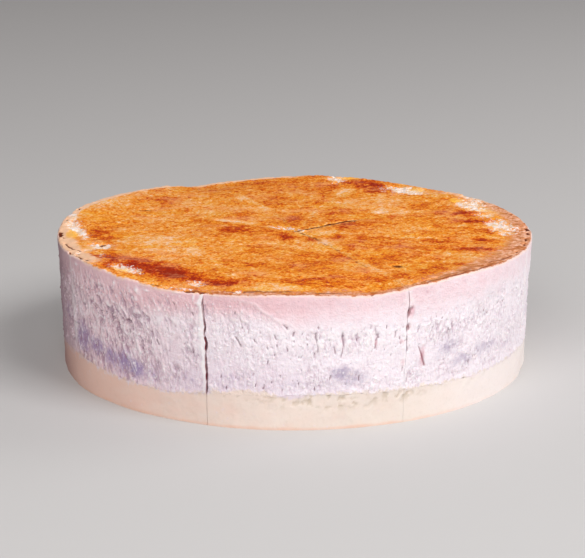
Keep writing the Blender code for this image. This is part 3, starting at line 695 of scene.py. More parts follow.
def topMarks(x, y):
    radius = np.hypot(x, y)
    angle = np.degrees(np.arctan2(x, -y))
    # the dusky rim on the right and in front
    wide = skin["duskyWidth"] + skin["duskyExtra"] * near(angle, skin["duskyWidest"])
    ring = rise(radius, 98.0 - 1.25 * wide + 3.5 * layeredNoise(x, y, 7.0, 51, 3), 100.0 - 0.30 * wide)
    rightSide = between(angle, *skin["duskyRight"])
    frontRing = rise(radius, 92.0 + 3.0 * layeredNoise(x, y, 5.0, 52, 3), 98.5)
    frontRing = frontRing * between(angle, *skin["duskyFront"])
    dusky = np.maximum(ring * rightSide * (1 - 0.5 * rise(angle, 112, 135)), 0.9 * frontRing)
    edgeLine = bell(radius - 98.6 - 0.5 * layeredNoise(x, y, 6.0, 58, 2), 0.8)
    edgeLine = edgeLine * (0.75 * between(angle, *skin["rimLine"]) + 0.25)
    innerLine = bell(radius - 94.8 - 1.2 * layeredNoise(x, y, 9.0, 59, 2), 0.55)
    innerLine = innerLine * 0.45 * between(angle, *skin["innerLine"])
    # the paler rim on the left and behind
    backRing = rise(radius, 94.8 + 1.6 * layeredNoise(x, y, 6.0, 53, 2), 97.5)
    peach = backRing * between(turned(angle, -135), *skin["peachBack"])
    leftRing = rise(radius, 90.5 + 2.5 * layeredNoise(x, y, 5.0, 57, 3), 95.5)
    peach = np.maximum(peach, leftRing * between(turned(angle, -74), *skin["peachLeft"]))
    peach = np.maximum(peach, 0.7 * ring * between(angle, *skin["peachRight"]))
    # the browning itself
    streaks = layeredNoise(np.radians(angle) * 60, radius * 0.22, 2.2, 54, 3)
    toast = patches(skin["toasted"], x, y, 0.2) + 0.18 * streaks * rise(radius, 60, 80) * rightSide
    browning = skin["browning"] + 0.12 * layeredNoise(x, y, 8.0, 55, 3, 0.7)
    browning = browning + 0.08 * layeredNoise(x, y, 26.0, 56, 2)
    browning = browning + skin["toastAmount"] * toast * (1 + 0.25 * layeredNoise(x, y, 3.0, 50, 2))
    browning = browning - skin["paleAmount"] * patches(skin["pale"], x, y, 0.1) + 0.14 * frontRing
    brown = 1.3 * drawn(skin["brownLines"], x, y, 1.2)
    return {
        "browning": browning,
        "torn": patches(skin["torn"], x, y, 0.25, 0.45),
        "yellow": patches(skin["yellowed"], x, y, 0.2),
        "dusky": dusky,
        "edge": np.clip(edgeLine + innerLine + brown, 0, 1.3),
        "peach": peach,
        "slits": np.maximum(liftedSkin(radius, angle), drawn(skin["darkLines"], x, y, 1.0)),
        "pits": patches(skin["darkPits"], x, y, 0.4),
        "lip": between(angle, *skin["brownLip"]),
    }


def topRelief(x, y, marks):
    grain = 0.16 * layeredNoise(x, y, 2.4, 61, 3, 0.7) + 0.20 * layeredNoise(x, y, 24.0, 62, 2)
    blisters, own = scatteredSpots(x, y, 5.5, 63)
    grain = grain + np.where(own > 0.6, skin["blisterHeight"] * (1 - rise(blisters, 0.4, 2.0)), 0)
    crumbs = 0.42 * layeredNoise(x, y, 1.9, 66, 2)
    bare = rise(marks["torn"] + 0.4 * layeredNoise(x, y, 2.2, 67, 2), 0.3, 0.7)
    cracks = skin["crackDepth"] * np.clip(marks["slits"], 0, 1) + skin["pitDepth"] * marks["pits"]
    return grain - 0.02 + bare * (crumbs - skin["tornDepth"]) - cracks


def rimHeight(number, x, y, angle):
    outer = rise(np.hypot(x, y) / cake["radius"], 0.72, 0.97)
    return cake["height"] + (swell(rimSwells, angle) + sliceLift[number]) * outer


def seamHeight(x, y, angle):
    outer = rise(np.hypot(x, y) / cake["radius"], 0.60, 0.95)
    along = arc(angle)
    waves = 0.30 * layeredNoise(along, along * 0, 9.0, 71, 3, 0.4)
    waves = waves + 0.20 * layeredNoise(along, along * 0, 2.4, 73, 2)
    return cake["baseHeight"] + (swell(seam["swells"], angle) + waves) * outer


def warmth(angle):  # the base is peach on the left and cream in front
    return 0.15 + 0.85 * near(angle, seam["warmLeft"]) + 0.4 * near(angle, seam["warmBack"])


def seamMix(angle, fromSeam):  # 0 is all batter, 1 is all base
    width = seam["blur"] + seam["blurExtra"] * near(angle, seam["blurAt"])
    return 1 - rise(fromSeam - swell(seam["colourSwells"], angle), -width, width)


def cutShift(cut, share, height):
    power = math.log(0.5) / math.log(cut["bowAt"])
    bow = cut["bow"] * np.sin(math.pi * share**power) * rise(share, 0.0, 0.2)
    return bow + alongKnots(height, cut["wander"]) * rise(share, 0.6, 1.0)


def cutGape(cut, share, height, below):
    ragged = 1 + 0.35 * softNoise(height, share * 0 + cut["angle"], 1.3, 74)
    side = alongKnots(height, cut["open"]) * rise(share, 0.972, 1.0) * ragged * rise(below, 0.3, 2.0)
    raggedTop = 1 + 0.4 * softNoise(share * cake["cutLength"], share * 0 + cut["angle"], 2.0, 75)
    return side + alongKnots(share, cut["openTop"]) * (1 - rise(below, 2.0, 14.0)) * raggedTop


# Places the points of one layer of a wedge. across runs from cut to cut, out from the tip to
# the wall and up from the layer's floor to its roof, each from 0 to 1.
def wedgePoints(number, across, out, up, isTop, floor, roof):
    first, second = cuts[number], cuts[(number + 1) % len(cuts)]
    turn = (second["angle"] - first["angle"]) % 360.0
    angle = first["angle"] + turn * across
    halfTurn = math.radians(turn / 2)
    tip = outward(first["angle"] + turn / 2) * cake["closedCut"] / math.sin(halfTurn)
    tip = np.array(cake["centre"]) + tip
    toFirst, toSecond = sideways(first["angle"]), sideways(second["angle"])
    knife = cake["closedCut"] * ((1 - across)[:, None] * toFirst - across[:, None] * toSecond)
    plain = tip + (outward(angle) * cake["radius"] + knife - tip) * out[:, None]
    low, high = floor(plain, angle), roof(plain, angle)
    height = low + (high - low) * up
    rimLength = math.radians(turn) * cake["radius"]
    strips = (
        (first["strip"][1], across * rimLength),
        (second["strip"][0], (1 - across) * rimLength),
    )
    relief = wallRelief(angle, height, high, low, strips)
    depth = wallLumps(arc(angle), height) + relief["depth"] * isTop
    taper = cake["footToRim"] + (1 - cake["footToRim"]) * height / cake["height"]
    radius = cake["radius"] * taper + depth * rise(out, 0.93, 1.0)
    rim = outward(angle) * radius[:, None] + knife
    reach = np.hypot(*(rim - tip).T)
    fromWall, fromTop = reach * (1 - out), high - height
    if isTop:  # the square rim is drawn in to a quarter round
        size = cake["rimRounding"]
        inward, down = size - fromWall, size - fromTop
        draw = np.maximum(inward, down) / np.maximum(np.hypot(inward, down), 1e-9)
        inside = (inward > 0) & (down > 0)
        fromWall = np.where(inside, size - inward * draw, fromWall)
        fromTop = np.where(inside, size - down * draw, fromTop)
    share = 1 - fromWall / reach
    below = fromTop if isTop else fromTop + 99.0
    gapeFirst, gapeSecond = (cutGape(cut, share, height, below) for cut in (first, second))
    left = cutShift(first, share, height) + gapeFirst
    right = cutShift(second, share, height) - gapeSecond
    point = tip + (rim - tip) * share[:, None]
    point = point + ((1 - across) * left)[:, None] * toFirst + (across * right)[:, None] * toSecond
    chord = reach * share * math.radians(turn)
    # how dark each cut's opening is painted: painted shade
    paintedShadeFirst, paintedShadeSecond = gapeFirst * first.get("paintedShadeShare", 1.0), gapeSecond * second.get("paintedShadeShare", 1.0)
    return {
        "point": point,
        "height": high - fromTop,
        "angle": angle,
        "below": fromTop,
        "share": share,
        "relief": relief,
        "edges": ((first, across * chord), (second, (1 - across) * chord)),
        "high": high,
        "low": low,
        "paintedGapeShade": np.where(across == 0, paintedShadeFirst, np.where(across == 1, paintedShadeSecond, 0.0)),
    }


# Makes the faces of one layer of a wedge, fine on the wall and the top, coarse on the cut faces.
def wedgeShell(stepsAcross, outShares, upShares, columns, topGrid):
    lastOut, lastUp = len(outShares) - 1, len(upShares) - 1
    across, out, up, faces = [], [], [], []

    def add(a, o, u):
        across.append(a)
        out.append(o)
        up.append(u)
        return len(across) - 1

    acrossShares = [a / stepsAcross for a in range(stepsAcross + 1)]
    wallIndex = [[add(a, 1.0, u) for u in upShares] for a in acrossShares]
    tip = [add(0.5, 0.0, u) for u in upShares]
    top = {}
    if topGrid:
        for a, share in enumerate(acrossShares):
            top[a, 0], top[a, lastOut] = tip[lastUp], wallIndex[a][lastUp]
            for o in range(1, lastOut):
                top[a, o] = add(share, outShares[o], 1.0)
    sides = []
    for a in (0, stepsAcross):
        grid = [tip]
        for c in columns[1:-1]:
            levels = upShares[: lastUp + (not topGrid)]
            column = [add(acrossShares[a], outShares[c], u) for u in levels]
            grid.append(column + [top[a, c]] if topGrid else column)
        sides.append(grid + [wallIndex[a]])
    for a in range(stepsAcross):
        here, there = wallIndex[a], wallIndex[a + 1]
        for u in range(lastUp):
            faces.append((here[u], there[u], there[u + 1], here[u + 1]))
        for o in range(1, lastOut if topGrid else 0):
            faces.append((top[a, o], top[a, o + 1], top[a + 1, o + 1], top[a + 1, o]))
        if topGrid:
            faces.append((tip[lastUp], top[a, 1], top[a + 1, 1]))
    for side, a in zip(sides, (0, stepsAcross)):
        for c in range(len(columns) - 1):
            first, last = side[c], side[c + 1]
            for u in range(lastUp):
                face = [first[u], last[u], last[u + 1], first[u + 1]]
                if topGrid and u == lastUp - 1:
                    edge = [top[a, o] for o in range(columns[c + 1], columns[c] - 1, -1)]
                    face = [first[u], last[u]] + edge
                faces.append(tuple(face if a == 0 else face[::-1]))
    left, right = sides
    inner = range(1, len(columns) - 1)

    def ring(level, goes, comes, rim):
        return [tip[level]] + [goes[c][level] for c in inner] + rim + [comes[c][level] for c in inner][::-1]

    faces.append(tuple(ring(0, right, left, [w[0] for w in wallIndex[::-1]])))
    if not topGrid:
        faces.append(tuple(ring(-1, left, right, [w[-1] for w in wallIndex])))
    return np.array(across), np.array(out), np.array(up), faces


def makePiece(name, points, faces, attributes, material):
    points = np.clip(points, np.array(cadBox[0]) / mm, np.array(cadBox[1]) / mm)
    mesh = bpy.data.meshes.new(name)
    mesh.from_pydata((points * mm).tolist(), [], faces)
    for key, values in attributes.items():
        layer = mesh.attributes.new(key, "FLOAT", "POINT")
        layer.data.foreach_set("value", values.astype(np.float32))
    mesh.shade_smooth()
    mesh.set_sharp_from_angle(angle=math.radians(62))
    mesh.materials.append(material)
    piece = bpy.data.objects.new(name, mesh)
    bpy.context.scene.collection.objects.link(piece)
    return piece


def srgb(red, green, blue):
    def linear(level):
        level = level / 255
        return level / 12.92 if level <= 0.04045 else ((level + 0.055) / 1.055) ** 2.4

    return (linear(red), linear(green), linear(blue), 1.0)


def newMaterial(name):
    material = bpy.data.materials.new(name)
    material.use_nodes = True
    tree = material.node_tree
    return material, tree, tree.nodes["Principled BSDF"]


def attribute(tree, name):
    node = tree.nodes.new("ShaderNodeAttribute")
    node.attribute_name = name
    return node.outputs["Fac"]


def grainNoise(tree, size, stretch=(1, 1, 1), detail=3.0, roughness=0.55):  # size in millimetres
    place = tree.nodes.new("ShaderNodeTexCoord")
    scale = tree.nodes.new("ShaderNodeMapping")
    scale.inputs["Scale"].default_value = [1000.0 / size * s for s in stretch]
    noise = tree.nodes.new("ShaderNodeTexNoise")
    noise.inputs["Scale"].default_value = 1.0
    noise.inputs["Detail"].default_value = detail
    noise.inputs["Roughness"].default_value = roughness
    tree.links.new(place.outputs["Object"], scale.inputs["Vector"])
    tree.links.new(scale.outputs["Vector"], noise.inputs["Vector"])
    return noise.outputs["Fac"]


def feed(tree, sockets, items):  # a number or colour is set on its socket, the rest is linked
    for socket, item in zip(sockets, items):
        if isinstance(item, (int, float, tuple)):
            socket.default_value = item
        else:
            tree.links.new(item, socket)


def value(tree, operation, a, b=0.0, c=0.0, clamp=False):
    node = tree.nodes.new("ShaderNodeMath")
    node.operation = operation
    node.use_clamp = clamp
    feed(tree, node.inputs, (a, b, c))
    return node.outputs[0]


def times(tree, a, b):
    return value(tree, "MULTIPLY", a, b)


def inverse(tree, item):
    return value(tree, "SUBTRACT", 1.0, item)


def band(tree, item, start, end):  # 0 below start, 1 above end
    node = tree.nodes.new("ShaderNodeMapRange")
    node.interpolation_type = "SMOOTHSTEP"
    node.inputs["From Min"].default_value = start
    node.inputs["From Max"].default_value = end
    tree.links.new(item, node.inputs["Value"])
    return node.outputs["Result"]


def ramp(tree, item, stops):
    node = tree.nodes.new("ShaderNodeValToRGB")
    elements = node.color_ramp.elements
    elements[0].position, elements[0].color = stops[0]
    elements[1].position, elements[1].color = stops[-1]
    for position, colour in stops[1:-1]:
        elements.new(position).color = colour
    tree.links.new(item, node.inputs["Fac"])
    return node.outputs["Color"]


def mixColour(tree, factor, a, b, blend="MIX"):
    node = tree.nodes.new("ShaderNodeMix")
    node.data_type = "RGBA"
    node.blend_type = blend
    feed(tree, (node.inputs[0], node.inputs[6], node.inputs[7]), (factor, a, b))
    return node.outputs[2]


def broken(tree, item, *noises):  # shifts a mask by each (noise, amount), so that its edge breaks up
    if isinstance(item, str):
        item = attribute(tree, item)
    for noise, amount in noises:
        item = value(tree, "MULTIPLY_ADD", value(tree, "SUBTRACT", noise, 0.5), amount, item)
    return item


def painted(tree, base, layers):  # lays each (colour, mask, start, end, share) over the base
    for colour, mask, start, end, share in layers:
        if isinstance(mask, str):
            mask = attribute(tree, mask)
        if start != end:  # else the mask is used as it is
            mask = band(tree, mask, start, end)
        if share != 1:
            mask = times(tree, mask, share)
        base = mixColour(tree, mask, base, colour)
    return base


def seamMask(tree):  # the same on both layers, so that they meet in one tone
    crumb = grainNoise(tree, 1.9, (1, 1, 0.8), detail=3.0, roughness=0.65)
    return band(tree, broken(tree, "seam", (crumb, 2.0)), 0.2, 0.8)


def finishShader(tree, shader, look, colour, fine, relief):
    plain, varied = look["roughness"]
    tree.links.new(colour, shader.inputs["Base Color"])
    tree.links.new(value(tree, "MULTIPLY_ADD", fine, varied, plain), shader.inputs["Roughness"])
    shader.inputs["Specular IOR Level"].default_value = look["shine"]
    shader.inputs["Subsurface Weight"].default_value = look["softness"]
    shader.inputs["Subsurface Radius"].default_value = look["softColour"]
    shader.inputs["Subsurface Scale"].default_value = look["softDepth"]
    bump = tree.nodes.new("ShaderNodeBump")
    bump.inputs["Strength"].default_value = look["bump"]
    bump.inputs["Distance"].default_value = look["bumpHeight"]
    tree.links.new(relief, bump.inputs["Height"])
    tree.links.new(bump.outputs["Normal"], shader.inputs["Normal"])


batterLook = {
    "browning": [  # from the palest skin to the darkest
        (0.0, srgb(248, 204, 170)),
        (0.14, srgb(248, 186, 122)),
        (0.29, srgb(244, 166, 76)),
        (0.43, srgb(238, 144, 44)),
        (0.56, srgb(226, 122, 26)),
        (0.69, srgb(208, 92, 13)),
        (0.83, srgb(188, 56, 7)),
        (1.0, srgb(152, 36, 5)),
    ],
    "dusky": [
        (0.34, srgb(170, 92, 50)),
        (0.45, srgb(206, 134, 94)),
        (0.56, srgb(228, 164, 130)),
        (0.70, srgb(248, 204, 180)),
    ],
    "gold": srgb(255, 250, 150),
    "blush": srgb(242, 168, 118),
    "peach": srgb(244, 196, 160),
    "tornWhite": srgb(244, 234, 230),
    "tornCream": srgb(240, 204, 162),
    "yellow": srgb(252, 184, 58),
    "lipBrown": srgb(164, 90, 48),
    "paintedCrackShade": srgb(104, 42, 16),
    "edgeBrown": srgb(142, 72, 42),
    "pinkWithPaintedLight": srgb(237, 197, 202),
    "whiteLilac": srgb(245, 235, 241),
    "lilac": srgb(235, 221, 231),
    "violet": srgb(156, 134, 180),
    "blueGrey": srgb(178, 165, 188),
    "shade": srgb(202, 176, 190),
    "paintedGrooveShade": srgb(158, 116, 136),
    "paintedCrestHighlight": srgb(242, 224, 231),
    "paintedNickShade": srgb(156, 130, 140),
    "rose": srgb(212, 150, 162),
    "paintedWineShade": srgb(128, 36, 54),
    "whiteAndHighlight": srgb(253, 246, 247),
    "underRim": srgb(244, 212, 196),
    "seam": srgb(234, 221, 211),
    "seamWarm": srgb(232, 198, 183),
    # the colour of the painted shade on the far left
    "paintedShade": srgb(150, 122, 130),
    "roughness": (0.50, 0.25),  # the plain amount, and how much the grain varies it
    "shine": 0.10,
    "softness": 0.10,
    "softColour": (1.0, 0.6, 0.5),
    "softDepth": 0.0012,
    "bump": 0.7,
    "bumpHeight": 0.0006,
}


def batterMaterial():
    look = batterLook
    material, tree, shader = newMaterial("yam batter")
    fine = grainNoise(tree, 1.7, detail=3.0, roughness=0.6)
    grain = grainNoise(tree, 1.05, detail=3.0, roughness=0.7)
    middle = grainNoise(tree, 5.0, detail=4.0, roughness=0.6)
    tiny = grainNoise(tree, 0.7, detail=2.0)
    streak = grainNoise(tree, 0.85, (1, 1, 0.4), detail=3.0, roughness=0.6)
    patch = grainNoise(tree, 16.0, (1, 1.8, 1), detail=3.0, roughness=0.65)
    lip = attribute(tree, "lip")
    # browned skin
    browning = broken(tree, "browning", (fine, 1.0), (middle, 0.75), (grain, 1.4))
    skinTone = ramp(tree, browning, look["browning"])
    golden = mixColour(tree, 1.0, skinTone, look["gold"], "MULTIPLY")
    hue = broken(tree, patch, (grain, 0.35))
    duskyTone = ramp(tree, broken(tree, middle, (fine, 1.1)), look["dusky"])
    rimPale = times(tree, band(tree, attribute(tree, "skinEdge"), -1.3, -0.2), 0.6)
    rimPale = times(tree, rimPale, inverse(tree, lip))
    peach = value(tree, "MAXIMUM", attribute(tree, "peach"), rimPale)
    tornTone = band(tree, broken(tree, middle, (tiny, 1.2)), 0.36, 0.54)
    tornTone = mixColour(tree, tornTone, look["tornCream"], look["tornWhite"])
    bare = band(tree, broken(tree, "torn", (fine, 2.6), (grain, 2.4)), 0.40, 1.0)
    bare = times(tree, bare, band(tree, attribute(tree, "torn"), 0.02, 0.2))
    lipEdge = times(tree, band(tree, broken(tree, "skinEdge", (fine, 1.4)), -1.4, -0.2), lip)
    skinTone = painted(tree, skinTone, (
        (golden, hue, 0.49, 0.64, 0.6),
        (look["blush"], inverse(tree, hue), 0.52, 0.68, 0.35),
        (duskyTone, broken(tree, "dusky", (fine, 0.7), (middle, 0.5)), 0.05, 0.95, 0.85),
        (look["peach"], broken(tree, peach, (fine, 1.1)), 0.3, 0.8, 1),
        (tornTone, bare, 0, 0, 0.92),
        (look["yellow"], broken(tree, "yellow", (fine, 0.9)), 0.25, 0.9, 0.75),
        (look["lipBrown"], lipEdge, 0, 0, 0.4),
        (look["edgeBrown"], broken(tree, "edge", (fine, 1.0), (middle, 0.5)), 0.3, 0.95, 0.8),
        # painted shade in the skin's cracks, pits and cut lines
        (look["paintedCrackShade"], broken(tree, "paintedCrackShade", (fine, 0.6)), 0.35, 0.9, 1),
    ))
    # the wall's colours, with painted shade and painted highlights on its torn crumb
    stainTone = band(tree, attribute(tree, "warm"), 0.2, 0.6)
    stainTone = mixColour(tree, stainTone, look["blueGrey"], look["violet"])
    rough = value(tree, "ADD", attribute(tree, "rough"), 0.12, clamp=True)
    # painted shade and painted highlight along the fine streaks of the torn crumb
    paintedStreakShade = times(tree, inverse(tree, band(tree, streak, 0.32, 0.52)), times(tree, rough, 0.9))
    paintedStreakHighlight = times(tree, band(tree, streak, 0.54, 0.68), times(tree, rough, 0.7))
    seamTone = mixColour(tree, attribute(tree, "warm"), look["seam"], look["seamWarm"])
    # painted shade on the far left, a little lighter where the crests carry painted highlights
    paintedShadeTone = band(tree, broken(tree, "paintedCrestHighlight", (streak, 0.6)), 0.2, 0.8)
    paintedShadeTone = mixColour(tree, paintedShadeTone, look["paintedShade"], look["shade"])
    body = painted(tree, look["whiteLilac"], (
        (look["lilac"], broken(tree, "lilac", (middle, 0.6)), -0.1, 1.0, 1),
        # the pink band, with painted light on its left and right
        (look["pinkWithPaintedLight"], broken(tree, "pinkWithPaintedLight", (middle, 0.5)), 0.0, 1.0, 1),
        (stainTone, broken(tree, "violet", (fine, 1.0), (middle, 0.9)), 0.1, 1.05, 0.9),
        # painted shade in the crumb's hollows
        (look["shade"], broken(tree, "paintedHollowShade", (streak, 0.8)), 0.1, 1.0, 0.75),
        # painted shade in the grooves
        (look["paintedGrooveShade"], broken(tree, "paintedGrooveShade", (streak, 0.9)), 0.1, 0.9, 0.62),
        (look["shade"], paintedStreakShade, 0, 0, 1),
        (look["whiteAndHighlight"], paintedStreakHighlight, 0, 0, 1),
        # painted shade in the nicks
        (look["paintedNickShade"], "paintedNickShade", 0.15, 0.9, 0.85),
        (look["rose"], broken(tree, "rose", (fine, 0.4)), 0.1, 0.9, 0.7),
        # white crumbs, with painted highlights on the crumb and on the strips beside the cuts
        (look["whiteAndHighlight"], "whiteAndHighlight", 0, 0, 0.85),
        # painted highlight on the crests
        (look["paintedCrestHighlight"], "paintedCrestHighlight", 0, 0, 0.42),
        (seamTone, seamMask(tree), 0, 0, 1),
        (paintedShadeTone, "paintedShade", 0, 0, 1),
        # painted shade in open cuts, the slit and the pits
        (look["paintedWineShade"], "paintedWineShade", 0.15, 0.9, 1),
    ))
    # the skin ends in a ragged edge at the rim, with a paler line under it
    depth = broken(tree, "skinEdge", (fine, 0.9), (tiny, 0.6))
    body = painted(tree, body, [(look["underRim"], inverse(tree, band(tree, depth, 0.3, 1.5)), 0, 0, 0.75)])
    lipMask = times(tree, band(tree, middle, 0.44, 0.58), 0.55)
    brownLip = times(tree, band(tree, depth, -0.45, -0.05), lipMask)
    skinTone = mixColour(tree, brownLip, skinTone, look["edgeBrown"])
    colour = mixColour(tree, band(tree, depth, -0.45, 0.4), skinTone, body)
    strokes = times(tree, streak, times(tree, attribute(tree, "rough"), 2.2))
    relief = value(tree, "ADD", times(tree, tiny, 0.5), times(tree, fine, 0.7))
    finishShader(tree, shader, look, colour, fine, value(tree, "ADD", relief, strokes))
    return material


baseLook = {
    "cream": srgb(234, 221, 211),
    "peach": srgb(236, 198, 182),
    "paintedFootShade": srgb(234, 188, 164),
    "spot": srgb(198, 180, 160),
    "lilac": srgb(232, 216, 224),
    # the colour of the painted shade on the far left
    "paintedShade": srgb(156, 114, 112),
    "pale": srgb(245, 235, 233),
    "roughness": (0.6, 0.2),
    "shine": 0.16,
    "softness": 0.1,
    "softColour": (1.0, 0.7, 0.5),
    "softDepth": 0.0015,
    "bump": 0.25,
    "bumpHeight": 0.0003,
    "paintedLightAt": (20, 55, 95, 130),  # painted light on the base's right side: starts, full, fading, ends
    "pitDepth": 0.40,
    # pitted places under the seam: (angle, height, half width in degrees, half height, strength)
    "pits": [
        (9, 11.6, 14, 3.0, 1.0), (3, 10.6, 3, 2.4, 1.0), (24, 11.2, 6, 2.4, 0.8),
        (-10, 12.6, 8, 1.6, 0.5), (-18, 13.0, 5, 1.4, 0.45), (45, 12.2, 8, 1.4, 0.25),
        (110, 12, 10, 1.8, 0.6), (160, 12, 12, 1.8, 0.6), (215, 12, 12, 1.8, 0.6),
        (260, 12, 8, 1.8, 0.4),
    ],
}


def spongeMaterial():
    look = baseLook
    material, tree, shader = newMaterial("sponge base")
    fine = grainNoise(tree, 1.2, detail=4.0)
    middle = grainNoise(tree, 9.0, (1, 1, 1.6), detail=2.0)
    crumb = painted(tree, look["cream"], (
        (look["peach"], broken(tree, "warm", (middle, 0.5)), 0.0, 1.0, 1),
        # painted contact shade along the foot
        (look["paintedFootShade"], broken(tree, "paintedFootShade", (middle, 0.9)), 0.4, 1.2, 0.6),
        # painted light: the base's right side is paler
        (look["pale"], "paintedLight", 0, 0, 1),
        (look["lilac"], inverse(tree, seamMask(tree)), 0, 0, 1),
        (look["paintedShade"], "paintedShade", 0, 0, 1),
        # painted shade in the pits of the sponge
        (look["spot"], "pit", 0, 0, 0.75),
        (look["spot"], fine, 0.5, 0.75, 0.12),
    ))
    finishShader(tree, shader, look, crumb, fine, fine)
    return material


meshSteps = {"across": 230, "out": 92, "batterUp": 120, "baseAcross": 150, "baseUp": 26}
columnShares = [0, 0.35, 0.6, 0.78, 0.88, 0.94, 0.975, 1.0]


def outSteps():  # closer together towards the wall
    even = np.linspace(0, 1, meshSteps["out"] + 1)
    return 0.36 * even + 0.64 * (1 - (1 - even) ** 2.2)


def columnsAt(shares):
    return [int(np.argmin(abs(shares - share))) for share in columnShares]


def cutMarks(edges, share):  # the dark line of a cut and the pale band beside it
    line, pale = 0.0, 0.0
    for cut, away in edges:
        patchy = layeredNoise(share * cake["cutLength"], share * 0 + cut["angle"], 5.0, 81, 3)
        patchy = 0.75 + 0.6 * patchy
        lineHere = alongKnots(share, cut["line"]) * np.clip(patchy, 0, 1.1)
        paleHere = alongKnots(share, cut["pale"]) * np.clip(patchy + 0.35, 0, 1.2)
        line = np.maximum(line, lineHere * bell(away, skin["cutLine"]))
        pale = np.maximum(pale, paleHere * bell(away, skin["cutBand"]))
    return line, pale


def batterPiece(number, material):
    up = np.linspace(0, 1, meshSteps["batterUp"] + 1)
    up = 0.85 * up + 0.15 * (1 - (1 - up) ** 2)
    shares = outSteps()
    across, out, up, faces = wedgeShell(meshSteps["across"], shares, up, columnsAt(shares), True)

    def floor(spot, angle):
        return seamHeight(spot[:, 0], spot[:, 1], angle) + cake["seamGap"] / 2

    def roof(spot, angle):
        return rimHeight(number, spot[:, 0], spot[:, 1], angle)

    wedge = wedgePoints(number, across, out, up, True, floor, roof)
    relief, angle, share = wedge["relief"], wedge["angle"], wedge["share"]
    x, y = wedge["point"].T
    marks = topMarks(x, y)
    line, paleBand = cutMarks(wedge["edges"], share)
    dip = (skin["cutLineDepth"] * line + skin["cutBandDepth"] * paleBand) * rise(share, 0.01, 0.06)
    nearTop = 1 - rise(wedge["below"], 0.0, 2.0)
    height = wedge["height"] + nearTop * (topRelief(x, y, marks) - dip)
    onWall = rise(out, 0.97, 1.0)
    onTop = 1 - onWall
    # an open cut is painted dark inside as painted shade, brown on the top and wine red on the wall
    paintedOpenCutShade = np.clip(wedge["paintedGapeShade"] * wall["paintedGapeShadeRate"], 0, 1)
    # painted shade in the skin's cracks, pits and cut lines, and in open cuts on the top
    cracks = line * 0.95 + marks["slits"] * 1.1 + marks["pits"] + 0.6 * paintedOpenCutShade * onTop
    # the smooth strips beside a cut are painted whiter: a painted highlight
    paintedStripHighlight = relief["plain"] * onWall * 0.95 * (0.35 + 0.65 * rise(wedge["height"], 14, 22))
    stain = zones(wall["violetStains"], angle, wedge["height"])
    lessLilac = 0.8 * between(turned(angle), *wall["lessLilac"])
    attributes = {
        "browning": marks["browning"] - skin["cutPaleness"] * paleBand,
        "warm": warmth(angle),
        "paintedCrackShade": np.clip(cracks, 0, 1.2),
        "skinEdge": relief["ragged"] * onWall - 3.0 * onTop,
        "pinkWithPaintedLight": relief["pinkWithPaintedLight"],
        "lilac": (1 - rise(wedge["height"], *wall["lilacFade"])) * (1 - lessLilac),
        "violet": stain,
        "rose": zones(wall["roseStains"], angle, wedge["height"]),
        # the painted crest highlight, weaker over the violet stains
        "paintedCrestHighlight": relief["paintedCrestHighlight"] * onWall * (1 - 0.7 * np.clip(stain, 0, 1)),
        # white crumbs and painted highlights
        "whiteAndHighlight": np.clip(relief["crumb"] * onWall + paintedStripHighlight, 0, 1),
        "seam": seamMix(angle, wedge["height"] - wedge["low"]),
        # painted shade in open cuts, the slit and the pits of the wall
        "paintedWineShade": (paintedOpenCutShade + 0.7 * relief["slit"] + 0.5 * relief["pit"]) * onWall,
    }
    for mark in ("torn", "yellow", "dusky", "peach", "edge", "lip"):
        attributes[mark] = marks[mark]
    for mark in ("rough", "paintedNickShade", "paintedHollowShade", "paintedShade", "paintedGrooveShade"):
        attributes[mark] = relief[mark] * onWall
    name = "yam_batter_look_" + slices[number]
    piece = makePiece(name, np.column_stack([x, y, height]), faces, attributes, material)
    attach(piece, "root")
    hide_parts("yam_batter_" + slices[number])


def basePiece(number, material):
    up = np.linspace(0, 1, meshSteps["baseUp"] + 1)
    shares = outSteps()
    across, out, up, faces = wedgeShell(meshSteps["baseAcross"], shares, up, columnsAt(shares), False)

    def floor(spot, angle):
        return np.zeros(len(spot))

    def roof(spot, angle):
        return seamHeight(spot[:, 0], spot[:, 1], angle) - cake["seamGap"] / 2

    wedge = wedgePoints(number, across, out, up, False, floor, roof)
    angle, height = wedge["angle"], wedge["height"]
    fromSeam = wedge["high"] - height
    blots = layeredNoise(arc(angle), height * 1.2, 2.6, 91, 3, 0.7)
    # the pits are sunk in and painted darker in the colour: painted shade
    pit = zones(baseLook["pits"], angle, height) * 1.3 + 0.25 * bell(fromSeam, 1.2)
    pit = np.clip(pit, 0, 1) * rise(blots, 0.0, 0.7)
    depth = 0.06 * layeredNoise(arc(angle), height, 3.0, 93, 2) - baseLook["pitDepth"] * pit
    depth = depth * rise(out, 0.93, 1.0)
    x, y = (wedge["point"] + outward(angle) * depth[:, None]).T
    attributes = {
        # painted contact shade along the foot of the base
        "paintedFootShade": 1 - rise(height, 0.2, 2.6),
        "seam": seamMix(angle, -fromSeam),
        "pit": pit,
        "warm": warmth(angle),
        # painted shade on the far left of the base
        "paintedShade": 0.85 * paintedShade(angle),
        # painted light on the base's right side
        "paintedLight": 0.75 * between(turned(angle), *baseLook["paintedLightAt"]),
    }
    name = "sponge_base_look_" + slices[number]
    piece = makePiece(name, np.column_stack([x, y, height]), faces, attributes, material)
    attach(piece, "root")
    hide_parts("sponge_base_" + slices[number])


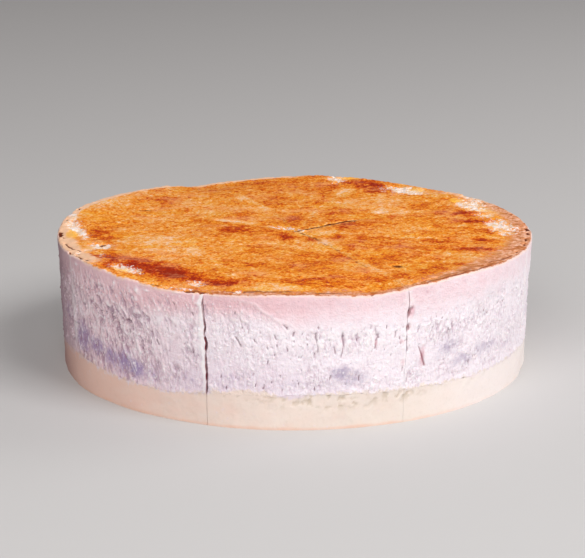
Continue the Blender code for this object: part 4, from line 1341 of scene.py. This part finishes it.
# lights are (name, direction round, height angle, distance, size, power)
studio = {
    "floor": srgb(200, 198, 197),
    "floorClouds": srgb(192, 190, 190),
    "world": (1.0, 0.94, 0.93, 1.0),
    "worldStrength": 0.21,
    "lights": [
        ("key", 50, 46, 1.8, 0.9, 19.2),
        ("front", -16, 36, 1.8, 1.2, 17.6),
        ("side", 105, 28, 1.6, 0.7, 5.6),
    ],
    "cameraPlace": (-0.0008, -0.9, 0.2863),
    "cameraPitch": 74.3,
    "lens": 135.08,
}


def makeLight(name, direction, lift, distance, size, power):
    data = bpy.data.lights.new(name, "AREA")
    data.size = size
    data.energy = power
    light = bpy.data.objects.new(name, data)
    x, y = outward(direction) * distance * math.cos(math.radians(lift))
    light.location = (x, y, distance * math.sin(math.radians(lift)))
    light.rotation_euler = (math.radians(90 - lift), 0, math.radians(direction))
    bpy.context.scene.collection.objects.link(light)


def makeStudio():
    scene = bpy.context.scene
    bpy.ops.mesh.primitive_plane_add(size=6.0)
    floor = bpy.context.object
    floor.name = "floor"
    material, tree, shader = newMaterial("pale floor")
    cloudy = times(tree, grainNoise(tree, 400.0, detail=2.0), 0.1)
    tone = mixColour(tree, cloudy, studio["floor"], studio["floorClouds"])
    tree.links.new(tone, shader.inputs["Base Color"])
    shader.inputs["Roughness"].default_value = 0.9
    floor.data.materials.append(material)
    for light in studio["lights"]:
        makeLight(*light)
    world = bpy.data.worlds.new("studio")
    world.use_nodes = True
    sky = world.node_tree.nodes["Background"]
    sky.inputs["Color"].default_value = studio["world"]
    sky.inputs["Strength"].default_value = studio["worldStrength"]
    scene.world = world
    camera = bpy.data.objects.new("camera", bpy.data.cameras.new("camera"))
    camera.data.lens = studio["lens"]
    camera.location = studio["cameraPlace"]
    camera.rotation_euler = (math.radians(studio["cameraPitch"]), 0, 0)
    scene.collection.objects.link(camera)
    scene.camera = camera
    scene.view_settings.view_transform = "Standard"


batter, sponge = batterMaterial(), spongeMaterial()
for number in range(len(slices)):
    batterPiece(number, batter)
    basePiece(number, sponge)
    print("slice made:", slices[number])
makeStudio()
print("studio ready")
